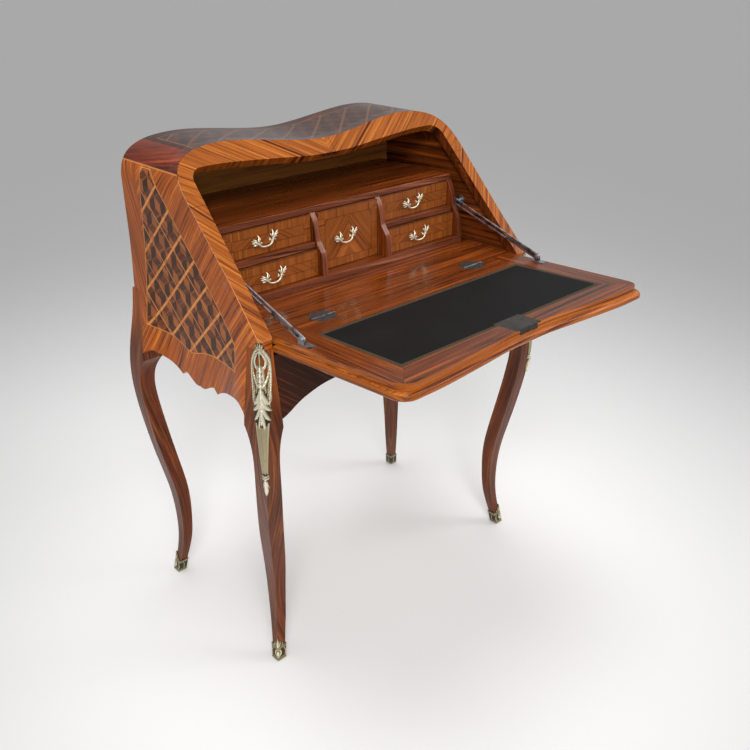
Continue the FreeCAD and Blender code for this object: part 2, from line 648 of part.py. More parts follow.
def hinge_leaf(name, side_name, sign, low, high, inner):
    """One leaf with its knuckles: the middle one on the fall, the outer two on
    the bed. low and high are the faces of the plate."""
    centre = sign + "hinge_place"
    plate = prism(name + "Plate" + side_name, leaf_outline(size(centre), size("trough_radius")), Z_AXIS, low, high)
    if inner:
        spans = (("-knuckle_half", "knuckle_half"),)
    else:
        spans = (("-hinge_half", "-knuckle_half - slide_gap"), ("knuckle_half + slide_gap", "hinge_half"))
    solids = [plate]
    for index, (left, right) in enumerate(spans):
        tag = name + side_name + str(index)
        span = ("%s + %s" % (centre, left), "%s + %s" % (centre, right))
        solids.append(box("Tab" + tag, span, ("0", "leaf_seam"), (low, high)))
        solids.append(rod("Knuckle" + tag, "knuckle_radius", "(%s) - (%s)" % (span[1], span[0]),
                          (span[0], "0", "0"), ALONG_X))
    bore = "pin_radius" if inner else "pin_radius + pin_gap"
    tools = [rod("Bore" + name + side_name, bore, "hinge_half * 2 + overrun",
                 (centre + " - hinge_half - overrun / 2", "0", "0"), ALONG_X)]
    for tag, x, y in screw_places():
        if tag.startswith(side_name):
            tools.append(upright("Through" + name + tag, "screw_shank", x, y, "-overrun", "overrun"))
            tools.append(upright("Sunk" + name + tag, "screw_head", x, y, "-head_depth", "head_depth"))
    return cut("Leaf" + name + side_name, fuse("LeafBody" + name + side_name, *solids), *tools)


def screw(name, x, y, down):
    """A countersunk screw whose head is flush with the leaf; down is its way in."""
    if down:
        head, shank = ("-head_depth", "0"), ("-screw_length", "0")
    else:
        head, shank = ("0", "head_depth"), ("0", "screw_length")
    return fuse("Screw" + name, upright("Head" + name, "screw_head", x, y, *head),
                upright("Shank" + name, "screw_shank", x, y, *shank))


# Writing bed, with recesses for the fixed hinge leaves and notched for the stiles
bed = box("BedBoard", ("-inner_half", "inner_half"), ("edge_gap", "back_front - hinge_setback"),
          ("-bed_thickness", "0"))
pilots = [upright("BedPilot" + tag, "screw_shank", x, y, "-screw_length", "0") for tag, x, y in screw_places()]
notches = [box("BedNotch" + name, wide, ("-overrun", "bed_notch"), ("stile_foot - bed_top", "overrun"))
           for name, wide in (("Left", ("-inner_half - overrun", "-opening_half_low + edge_gap")),
                              ("Right", ("opening_half_low - edge_gap", "inner_half + overrun")))]
node(cut("Bed", bed, *leaf_recesses("Bed", "-leaf_thickness", "overrun"), *pilots, *notches), "writing_bed",
     HINGE % "0")
fixed = [hinge_leaf("Fixed", side_name, sign, "-leaf_thickness", "0", False)
         for side_name, sign in (("Left", "-"), ("Right", ""))]
node(group("FixedLeaves", *fixed), "bed_hinge_leaves", HINGE % "0")
node(group("BedScrews", *[screw("Bed" + tag, x, y, True) for tag, x, y in screw_places()]), "bed_hinge_screws",
     HINGE % "0")

# Rail under the front of the bed, between the posts
node(group("FrontRail", box("FrontRailBar", ("-post_inner", "post_inner"), ("0", "rail_depth"),
                            ("rail_low", "bed_bottom"))), "front_rail")

# Runners for the frieze drawer, with guides, along both sides between the posts
runners = []
for name, low, high, guide_low, guide_high in (
        ("Left", "-inner_half", "-inner_half + runner_width", "-inner_half", "-frieze_box_half - slide_gap"),
        ("Right", "inner_half - runner_width", "inner_half", "frieze_box_half + slide_gap", "inner_half")):
    along = ("post_depth", "carcass_depth - post_depth")
    runners.append(fuse(
        "Runner" + name,
        box("Bearer" + name, (low, high), along, ("frieze_box_low - runner_height", "frieze_box_low - slide_gap")),
        box("Guide" + name, (guide_low, guide_high), along,
            ("frieze_box_low - runner_height", "frieze_box_low + runner_height"))))
node(group("Runners", *runners), "drawer_runners")

# Fitted case of drawers: base, partitions, shelves and lid
node(group("CaseBase", box("CaseBaseBoard", ("-case_half", "case_half"), ("base_front", "back_front"),
                           ("bed_top", "case_floor"))), "case_base")
node(group("CaseLid", box("CaseLidBoard", ("-case_half", "case_half"), ("lid_front", "back_front"),
                          ("high_top", "lid_top"))), "case_lid")


def partition_outline(x):
    """A partition seen from the side: its front edge steps back as it rises."""
    low, high = size("case_floor"), size("high_top")
    near, far = size("base_front"), size("lid_front")
    front_edge = [Vector(x, far + share * (near - far), low + level * (high - low)) for level, share in EDGE_SHARES]
    back = size("back_front")
    edges = [curve(front_edge)]
    edges += lines([front_edge[-1], Vector(x, back, low), Vector(x, back, high), front_edge[0]])
    return face(edges)


for name, low, high in (("outer", "wall_inner", "case_half"), ("inner", "middle_half", "middle_outer")):
    pair = [prism("PartitionRight" + name, partition_outline(0), X_AXIS, low, high),
            prism("PartitionLeft" + name, partition_outline(0), X_AXIS, "-" + high, "-" + low)]
    node(group("Partitions" + name, *pair), name + "_partitions")
shelves = [box("Shelf" + name, (low, high), ("shelf_front", "back_front"), ("low_top", "high_floor"))
           for name, low, high in (("Left", "-wall_inner", "-middle_outer"), ("Right", "middle_outer", "wall_inner"))]
node(group("Shelves", *shelves), "case_shelves")


def pull(name, x, y, z):
    """A drawer pull: a bow between two posts on rosettes, its ends curling up."""
    wire, reach, half = size("handle_wire"), size("handle_reach"), size("handle_half")
    near = y - reach + wire
    shares = PULL_SHARES + tuple((-place, drop, thick) for place, drop, thick in reversed(PULL_SHARES[:-1]))
    spine = [Vector(x - place * size("handle_span"), near, z - drop * size("handle_dip"))
             for place, drop, thick in shares]
    line = Part.BSplineCurve()
    line.interpolate(spine)
    ends = [place * -size("handle_span") for place, drop, thick in shares]
    thicknesses = list(zip(ends, [thick for place, drop, thick in shares]))
    rings = []
    for point in line.discretize(Number=len(spine) * PULL_RINGS):
        offset = min(max(point.x - x, ends[0]), ends[-1])
        ring = Part.makeCircle(wire * share_at(thicknesses, offset), Vector(0, 0, 0), Z_AXIS)
        along = line.tangent(line.parameter(point))[0]
        ring.Placement = FreeCAD.Placement(point, FreeCAD.Rotation(Z_AXIS, along))
        rings.append(Part.Wire([ring]))
    parts = [Part.makeLoft(rings, True, True)]
    for sign in (-1, 1):
        root = Vector(x + sign * half, y, z)
        parts.append(Part.makeCylinder(size("rosette_radius"), size("rosette_thickness"), root, -Y_AXIS))
        parts.append(Part.makeCylinder(size("handle_post"), reach - wire, root, -Y_AXIS))
    return shaped(name, parts[0].multiFuse(parts[1:]))


def small_drawer(name, low_x, high_x, front, low_z, high_z):
    """One drawer of the case: a front, a box behind it and a pull."""
    wide = ("%s + drawer_gap" % low_x, "%s - drawer_gap" % high_x)
    inside = ("%s + box_wall" % wide[0], "%s - box_wall" % wide[1])
    tall = ("%s + slide_gap" % low_z, "%s - drawer_gap" % high_z)
    node(group("Front" + name, box("FrontBoard" + name, wide, (front, front + " + front_thickness"), tall)),
         name + "_drawer_front")
    shell = box("Shell" + name, wide, (front + " + front_thickness", "back_front - box_back_gap"),
                (tall[0], tall[1] + " - box_drop"))
    hollow = box("Hollow" + name, inside, (front + " + front_thickness + box_wall",
                                           "back_front - box_back_gap - box_wall"),
                 (tall[0] + " + box_floor", tall[1]))
    node(cut("Box" + name, shell, hollow), name + "_drawer_box")


DRAWERS = (
    ("upper_left", "-wall_inner", "-middle_outer", "high_front", "high_floor", "high_top"),
    ("upper_right", "middle_outer", "wall_inner", "high_front", "high_floor", "high_top"),
    ("lower_left", "-wall_inner", "-middle_outer", "low_front", "case_floor", "low_top"),
    ("lower_right", "middle_outer", "wall_inner", "low_front", "case_floor", "low_top"),
    ("middle", "-middle_half", "middle_half", "middle_front", "case_floor", "high_top"),
)
for name, low_x, high_x, front, low_z, high_z in DRAWERS:
    small_drawer(name, low_x, high_x, front, low_z, high_z)
    bow = pull("Pull" + name, (size(low_x) + size(high_x)) / 2 - size("handle_shift"), size(front),
               (size(low_z) + size(high_z)) / 2 - size("handle_drop"))
    node(bow, name + "_drawer_pull")

# Frieze drawer under the bed: a bowed front with an arched lower edge, and its box
def frieze_outline():
    low, rise, half = size("knee_height"), size("frieze_arch"), size("post_inner") - size("drawer_gap")
    right = [Vector(share * half, 0, low + level * rise) for share, level in ARCH_SHARES]
    left = [Vector(-point.x, 0, point.z) for point in reversed(right[:-1])]
    roof = size("rail_low") - size("drawer_gap")
    edges = [curve(right + left)]
    edges += lines([left[-1], Vector(-half, 0, roof), Vector(half, 0, roof), right[0]])
    return face(edges)


def frieze_section(thicker=0.0):
    """The swelling front face of the frieze, the same curve as the knees."""
    deep = size("frieze_front_thickness")
    outer = [Vector(0, -out - thicker, tall) for out, tall in outer_points(FLANK_SHARE)]
    edges = [curve(outer)] + lines([outer[-1], Vector(0, deep, outer[-1].z), Vector(0, deep, outer[0].z), outer[0]])
    return face(edges)


node(common("FriezeFront", prism("FriezeFace", frieze_outline(), Y_AXIS, "-overrun", "overrun"),
            prism("FriezeSwell", frieze_section(), X_AXIS, "-post_inner", "post_inner")), "frieze_drawer_front")
shell = box("FriezeShell", ("-frieze_box_half", "frieze_box_half"),
            ("frieze_front_thickness", "frieze_front_thickness + frieze_box_depth"),
            ("frieze_box_low", "frieze_box_top"))
hollow = box("FriezeHollow", ("-frieze_box_half + frieze_wall", "frieze_box_half - frieze_wall"),
             ("frieze_front_thickness + frieze_wall", "frieze_front_thickness + frieze_box_depth - frieze_wall"),
             ("frieze_box_low + frieze_floor", "frieze_box_top + overrun"))
node(cut("FriezeBox", shell, hollow), "frieze_drawer_box")


def oval(half, height, x=0.0, y=0.0):
    """An oval face on the XY plane, taller than wide."""
    ring = Part.Ellipse(Vector(0, 0, 0), height, half).toShape()
    ring.rotate(Vector(0, 0, 0), Z_AXIS, math.degrees(math.pi / 2))
    ring.translate(Vector(x, y, 0))
    return Part.Face(Part.Wire([ring]))


shield = oval(size("shield_half"), size("shield_height"))
shield.rotate(Vector(0, 0, 0), X_AXIS, math.degrees(math.pi / 2))
shield.translate(Z_AXIS * size("shield_place"))
shield_skin = common("ShieldSkin", prism("ShieldFace", shield, Y_AXIS, "-overrun", "0"),
                     prism("ShieldSwell", frieze_section(size("shield_thickness")), X_AXIS, "-post_inner",
                           "post_inner"))
shield_hole = rod("ShieldHole", "key_radius", "overrun * 2", ("0", "-overrun", "shield_place"), ALONG_Y)
node(cut("Shield", shield_skin, prism("ShieldBack", frieze_section(), X_AXIS, "-post_inner", "post_inner"),
         shield_hole), "frieze_escutcheon")

# The fall, drawn flat: y runs along it from the hinge line, z outwards, and the
# writing surface is z = 0. It is then laid open.
core = prism("FallCore", fall_outline(0, size("edge_gap")), Z_AXIS, "0", "fall_core")
outer_board = prism("FallOuter", fall_outline(0, size("lip_start")), Z_AXIS, "fall_core", "fall_thickness")
rooms = leaf_recesses("Fall", "-overrun", "leaf_thickness")
rooms += [upright("FallPilot" + tag, "screw_shank", x, y, "0", "screw_length") for tag, x, y in screw_places()]
rooms.append(box("LeatherRoom", ("-leather_half", "leather_half"), ("leather_low", "leather_high"),
                 ("-overrun", "leather_thickness")))
rooms.append(box("PlateRoom", ("-lock_half", "lock_half"), ("lock_back", "fall_length + overrun"),
                 ("-overrun", "plate_thickness")))
rooms.append(box("LockRoom", ("-lock_case_half", "lock_case_half"), ("lock_back + plate_thickness",
                                                                     "fall_length + overrun"),
                 ("0", "plate_thickness + lock_case_depth")))
rooms.append(upright("FallKeyhole", "key_radius", "0", "key_place", "0", "overrun"))
node(cut("Fall", fuse("FallBoards", core, outer_board), *rooms), "fall_panel", OPEN)

# The leather skiver, notched round the lock plate
leather = doc.addObject("PartDesign::Body", "Leather")
pad(leather, sketch(leather, "LeatherEdge", (
    ("-leather_half", "leather_low"), ("leather_half", "leather_low"), ("leather_half", "leather_high"),
    ("lock_half", "leather_high"), ("lock_half", "lock_back"), ("-lock_half", "lock_back"),
    ("-lock_half", "leather_high"), ("-leather_half", "leather_high"))), "leather_thickness", "LeatherPad")
node(leather, "writing_leather", OPEN)

# The lip: a rounded moulding round the three free edges, which laps the frame
grown = fall_outline(size("lip_width"), size("lip_start"))
blank = grown.extrude(Z_AXIS * (size("fall_outer") - size("edge_gap")))
outer_edges = [edge for edge in blank.Edges
               if edge.BoundBox.ZLength < size("edge_gap") and edge.BoundBox.YMax > size("lip_start") + size("lip_width")]
rounded = shaped("LipBlank", blank.makeFillet(size("lip_round"), outer_edges))
bind(rounded, "Placement.Base.z", "fall_core + edge_gap")
inside = prism("LipInside", fall_outline(0, -size("overrun")), Z_AXIS, "0", "fall_thickness + overrun")
strip = cut("LipStrip", rounded, inside)
pieces = []
for name, low_x, high_x, low_y, high_y in (
        ("Left", "-carcass_half", "0", "0", "fall_length - opening_corner"),
        ("Right", "0", "carcass_half", "0", "fall_length - opening_corner"),
        ("End", "-carcass_half", "carcass_half", "fall_length - opening_corner", "fall_length + overrun")):
    pieces.append(common("Lip" + name, strip, box("LipSpan" + name, (low_x, high_x), (low_y, high_y),
                                                  ("0", "fall_thickness + overrun"))))
node(group("Lip", *pieces), "lip_moulding", OPEN)

# Lock: a plate and a case let into the fall, with a sliding bolt
lock_body = fuse(
    "LockBody",
    box("LockPlate", ("-lock_half", "lock_half"), ("lock_back", "fall_length"), ("0", "plate_thickness")),
    box("LockCase", ("-lock_case_half", "lock_case_half"), ("lock_back + plate_thickness", "fall_length"),
        ("0", "plate_thickness + lock_case_depth")))
channel = box("BoltChannel", ("-bolt_half - slide_gap", "bolt_half + slide_gap"),
              ("bolt_back - slide_gap", "fall_length + overrun"),
              ("bolt_depth - slide_gap", "bolt_depth + bolt_thickness + slide_gap"))
node(cut("Lock", lock_body, channel, upright("LockKeyhole", "key_radius", "0", "key_place",
                                             "bolt_depth + bolt_thickness", "overrun")), "fall_lock", OPEN)
node(group("Bolt", box("BoltBar", ("-bolt_half", "bolt_half"), ("bolt_back", "fall_length - slide_gap"),
                       ("bolt_depth", "bolt_depth + bolt_thickness"))), "lock_bolt", OPEN)
escutcheon = prism("EscutcheonFace", oval(size("escutcheon_half"), size("escutcheon_height"), 0, size("key_place")),
                   Z_AXIS, "fall_thickness", "fall_thickness + escutcheon_thickness")
node(cut("Escutcheon", escutcheon, upright("EscutcheonHole", "key_radius", "0", "key_place", "0", "overrun")),
     "fall_escutcheon", OPEN)

# Moving hinge leaves, their pins and screws
moving = [hinge_leaf("Moving", side_name, sign, "0", "leaf_thickness", True)
          for side_name, sign in (("Left", "-"), ("Right", ""))]
node(group("MovingLeaves", *moving), "fall_hinge_leaves", OPEN)
pins = hinge_pair("HingePin", lambda name, centre: rod(
    name, "pin_radius", "hinge_half * 2", (centre + " - hinge_half", "0", "0"), ALONG_X))
node(group("HingePins", *pins), "hinge_pins", OPEN)
node(group("FallScrews", *[screw("Fall" + tag, x, y, False) for tag, x, y in screw_places()]),
     "fall_hinge_screws", OPEN)


def bracket(name, sign):
    """The stay bracket on the fall: a foot, an ear and the pin through it."""
    def span(low, high):
        return (low, high) if sign > 0 else ("-(%s)" % high, "-(%s)" % low)
    foot = box("Foot" + name, span("ear_outer - foot_plate_width", "ear_outer"),
               ("stay_foot - foot_plate_back", "stay_foot + foot_plate_front"), ("-foot_plate_thickness", "0"))
    ear = box("Ear" + name, span("ear_inner", "ear_outer"), ("stay_foot - ear_half", "stay_foot + ear_half"),
              ("-stay_lift", "0"))
    low = span("stay_plane - ear_gap", "ear_outer")[0]
    pin = rod("StayPin" + name, "stay_pin", "ear_outer - stay_plane + ear_gap",
              (low, "stay_foot", "-stay_lift"), ALONG_X)
    crown = rod("EarCrown" + name, "ear_half", "ear_thickness",
                (span("ear_inner", "ear_outer")[0], "stay_foot", "-stay_lift"), ALONG_X)
    head = rod("PinHead" + name, "pin_head", "pin_head_thickness",
               (span("stay_plane - ear_gap - pin_head_thickness + slide_gap", "stay_plane - ear_gap + slide_gap")[0],
                "stay_foot", "-stay_lift"), ALONG_X)
    return fuse("Bracket" + name, foot, ear, pin, crown, head)


node(group("StayBrackets", bracket("Left", -1), bracket("Right", 1)), "stay_brackets", OPEN)

# Stays: flat slotted bars pinned to the fall, and the studs on the sides that
# hold them. The studs end just short of the bars, so that the bars can turn.
STAY = (HINGE % "stay_angle").replace("hinge_setback", "pivot_y").replace("bed_top", "pivot_z")
for side_name, low in (("left", "-stay_outer"), ("right", "stay_plane")):
    high = low + " + stay_thickness"
    bar = box("StayBar" + side_name, (low, high), ("0", "stay_length"), ("-stay_width / 2", "stay_width / 2"))
    ends = [rod("StayEnd" + side_name + tag, "stay_width / 2", "stay_thickness", (low, place, "0"), ALONG_X)
            for tag, place in (("A", "0"), ("B", "stay_length"))]
    through = (low + " - overrun", high + " + overrun")
    eye = rod("StayEye" + side_name, "stay_pin + pin_gap", "overrun * 2", (through[0], "0", "0"), ALONG_X)
    slot = box("StaySlot" + side_name, through, ("slot_start", "stay_length"), ("-stud_room", "stud_room"))
    slot_ends = [rod("SlotEnd" + side_name + tag, "stud_room", "overrun * 2", (through[0], place, "0"), ALONG_X)
                 for tag, place in (("A", "slot_start"), ("B", "stay_length"))]
    node(cut("Stay" + side_name, fuse("StayBody" + side_name, bar, *ends), eye, slot, *slot_ends),
         side_name + "_stay", STAY)
studs = []
for side_name, low, plate_low in (("Left", "-inner_half", "-inner_half"),
                                  ("Right", "stay_outer + stud_end_gap", "inner_half - stud_plate_thickness")):
    studs.append(fuse(
        "Stud" + side_name,
        rod("StudRod" + side_name, "stud_radius", "inner_half - stay_outer - stud_end_gap",
            (low, "stud_y", "stud_z"), ALONG_X),
        rod("StudPlate" + side_name, "stud_plate_half", "stud_plate_thickness",
            (plate_low, "stud_y", "stud_z"), ALONG_X)))
node(group("Studs", *studs), "stay_studs")

doc.recompute()
for item in doc.Objects:
    if "Invalid" in item.State or "Error" in item.State:
        raise RuntimeError("%s could not be built" % item.Name)
for label, piece in nodes.items():
    shape = piece.Shape
    if shape.isNull() or not shape.isValid() or not shape.Solids or shape.Volume <= 0:
        raise RuntimeError("%s has no valid solid" % label)

os.makedirs("parts", exist_ok=True)
for label, piece in nodes.items():
    piece.Shape.exportStep("parts/%s.step" % label)
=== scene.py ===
"""Dresses the writing desk: veneers, gilt mounts, leather and steel."""
import math

import bmesh
import bpy
import numpy as np
from bpy.props import FloatProperty, FloatVectorProperty, PointerProperty
from mathutils import Matrix, Vector
from mathutils.bvhtree import BVHTree


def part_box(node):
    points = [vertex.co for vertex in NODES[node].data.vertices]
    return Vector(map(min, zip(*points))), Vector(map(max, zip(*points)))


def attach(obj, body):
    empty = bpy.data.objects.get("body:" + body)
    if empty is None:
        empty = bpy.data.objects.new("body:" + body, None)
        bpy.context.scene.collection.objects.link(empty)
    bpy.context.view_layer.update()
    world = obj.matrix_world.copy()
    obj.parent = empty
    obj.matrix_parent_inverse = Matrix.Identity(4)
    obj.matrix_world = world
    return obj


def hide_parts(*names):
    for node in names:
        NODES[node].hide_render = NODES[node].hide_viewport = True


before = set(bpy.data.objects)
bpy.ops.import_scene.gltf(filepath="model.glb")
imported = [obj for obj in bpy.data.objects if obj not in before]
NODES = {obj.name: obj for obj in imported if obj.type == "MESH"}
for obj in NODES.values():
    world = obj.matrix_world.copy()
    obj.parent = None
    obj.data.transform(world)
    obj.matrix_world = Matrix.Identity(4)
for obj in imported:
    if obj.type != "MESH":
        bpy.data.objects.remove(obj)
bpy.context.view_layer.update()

bl_info = {
    "name": "Writing desk finishes",
    "version": (1, 0, 0),
    "blender": (4, 5, 0),
    "location": "View3D > Sidebar > Desk",
    "description": "Veneers, gilt mounts, leather and metalwork for a writing desk with a sloping fall",
    "category": "Object",
}

MM = 0.001
DRAWERS = ("upper_left_drawer", "upper_right_drawer", "lower_left_drawer", "lower_right_drawer", "middle_drawer")


def linear(red, green, blue):
    """A colour given as a paint chart gives it, for the shader."""
    def straighten(part):
        part = part / 255
        return part / 12.92 if part <= 0.04045 else ((part + 0.055) / 1.055) ** 2.4
    return (straighten(red), straighten(green), straighten(blue))


def colour(name, description, default):
    return FloatVectorProperty(name=name, description=description, subtype="COLOR", size=3,
                               min=0.0, max=1.0, default=linear(*default))


def length(name, description, default, low, high):
    return FloatProperty(name=name, description=description, subtype="DISTANCE", unit="LENGTH",
                         default=default, min=low, max=high, precision=4)


class DESK_PG_woods(bpy.types.PropertyGroup):
    tulip_light: colour("Tulipwood light", "Palest stripe of the crossbanding", (214, 132, 54))
    tulip_mid: colour("Tulipwood", "Body of the crossbanding", (172, 92, 32))
    tulip_dark: colour("Tulipwood dark", "Darkest stripe of the crossbanding", (84, 34, 10))
    king_light: colour("Kingwood light", "Pale lozenges of the parquetry", (168, 96, 44))
    king_mid: colour("Kingwood", "Middle lozenges of the parquetry", (110, 56, 26))
    king_dark: colour("Kingwood dark", "Dark lozenges of the parquetry", (66, 38, 22))
    # Painted highlight: the pale line laid along the frame's front arris.
    arris: colour("Arris", "Light line along the frame's outer arris", (226, 160, 116))
    fillet: colour("Fillet", "Fine light strips of the lattice", (228, 148, 80))
    inside_light: colour("Interior light", "Pale streak of the interior wood", (166, 84, 30))
    inside_mid: colour("Interior", "Body of the interior wood", (116, 54, 18))
    inside_dark: colour("Interior dark", "Dark streak of the interior wood", (44, 19, 8))
    leg_light: colour("Leg light", "Pale streak of the legs", (146, 80, 36))
    leg_mid: colour("Leg", "Body of the legs", (100, 48, 20))
    leg_dark: colour("Leg dark", "Dark streak of the legs", (50, 22, 10))
    leg_red: colour("Leg red", "Warm cloud in the legs", (118, 46, 20))
    band_light: colour("Border light", "Pale streak of the side borders", (232, 134, 46))
    band_mid: colour("Border", "Body of the side borders", (178, 88, 26))
    band_dark: colour("Border dark", "Dark streak of the side borders", (86, 36, 10))
    front_light: colour("Front light", "Pale streak round the drawer fronts", (180, 102, 44))
    front_mid: colour("Front", "Body of the banding round the drawer fronts", (150, 82, 34))
    front_dark: colour("Front dark", "Dark streak round the drawer fronts", (112, 58, 24))
    shoulder_light: colour("Shoulder light", "Pale streak of the rounded shoulders", (176, 76, 34))
    shoulder_mid: colour("Shoulder", "Body of the rounded shoulders", (122, 46, 22))
    shoulder_dark: colour("Shoulder dark", "Dark streak of the rounded shoulders", (66, 26, 12))
    top_ground: colour("Top ground", "Dark polish over the top's parquetry", (50, 30, 28))
    nosing_light: colour("Nosing light", "Pale streak of the nosings", (172, 104, 72))
    nosing_mid: colour("Nosing", "Rounded strips on the uprights of the case", (124, 66, 44))
    back_light: colour("Back light", "Pale streak of the back", (206, 134, 56))
    back_mid: colour("Back", "Body of the back", (160, 100, 40))
    back_dark: colour("Back dark", "Dark streak of the back", (96, 56, 24))
    oak_light: colour("Oak light", "Pale streak of the drawer linings", (196, 150, 96))
    oak_mid: colour("Oak", "Body of the drawer linings", (170, 124, 76))
    oak_dark: colour("Oak dark", "Dark streak of the drawer linings", (140, 98, 56))


class DESK_PG_metals(bpy.types.PropertyGroup):
    gilt: colour("Gilt", "Worn gilding of the mounts", (180, 168, 132))
    gilt_bright: colour("Gilt edges", "Burnished high points of the mounts", (250, 242, 216))
    gilt_warm: colour("Gilt rubbed", "Where the gilding is rubbed", (160, 142, 100))
    # The next colour darkens the mounts' hollows: partly dirt, partly painted shade.
    gilt_dirt_and_shade: colour("Gilt hollows", "Dirt and painted shade in the hollows of the mounts", (36, 28, 16))
    steel_bright: colour("Bright steel", "Hinge pins", (214, 214, 212))
    steel: colour("Steel", "Hinges", (112, 110, 110))
    lock: colour("Lock steel", "Lock plate and strike plate", (80, 74, 68))
    stay: colour("Stay steel", "Stays, their brackets and studs", (176, 178, 186))
    steel_deep: colour("Tarnish", "Stains on the steel", (44, 42, 40))
    leather: colour("Leather", "Writing leather", (17, 16, 16))
    leather_worn: colour("Worn leather", "Rubbed patches of the leather", (30, 28, 27))
    tooling: colour("Tooling", "Border tooled round the leather", (104, 86, 60))


class DESK_PG_sizes(bpy.types.PropertyGroup):
    lattice: length("Lattice", "Height between two strips of the lattice", 0.0715, 0.02, 0.2)
    strip: length("Strip", "Width of a light strip", 0.0052, 0.001, 0.02)
    cube: length("Cube", "Side of a cube of the parquetry", 0.021, 0.005, 0.1)
    band: length("Band", "Crossband round a drawer front", 0.0165, 0.005, 0.05)
    arris_highlight_line: length("Arris line", "Width of the light line along the frame's outer arris", 0.0016, 0.0, 0.01)
    tooled: length("Tooled border", "Border of the leather", 0.008, 0.002, 0.05)
    pull_root: length("Pull root", "Height of a pull's posts over its lowest point", 0.00835, 0.0, 0.05)
    corner_across: length("Knee across", "How far a knee's corner is from the middle", 0.350, 0.1, 1.0)
    corner_along: length("Knee along", "How far a knee's corner is in front", -0.068, -1.0, 1.0)
    floor_size: length("Floor", "Half the floor's width", 40.0, 2.0, 80.0)


def woods():
    return bpy.context.scene.desk_woods


def streaks(wood):
    """The pale, middle and dark streak of a wood."""
    return tuple(getattr(woods(), wood + "_" + depth) for depth in ("light", "mid", "dark"))


def metals():
    return bpy.context.scene.desk_metals


def sizes():
    return bpy.context.scene.desk_sizes


# ---------------------------------------------------------------- node recipes
MIXES = ("FLOAT", "VECTOR", "RGBA")


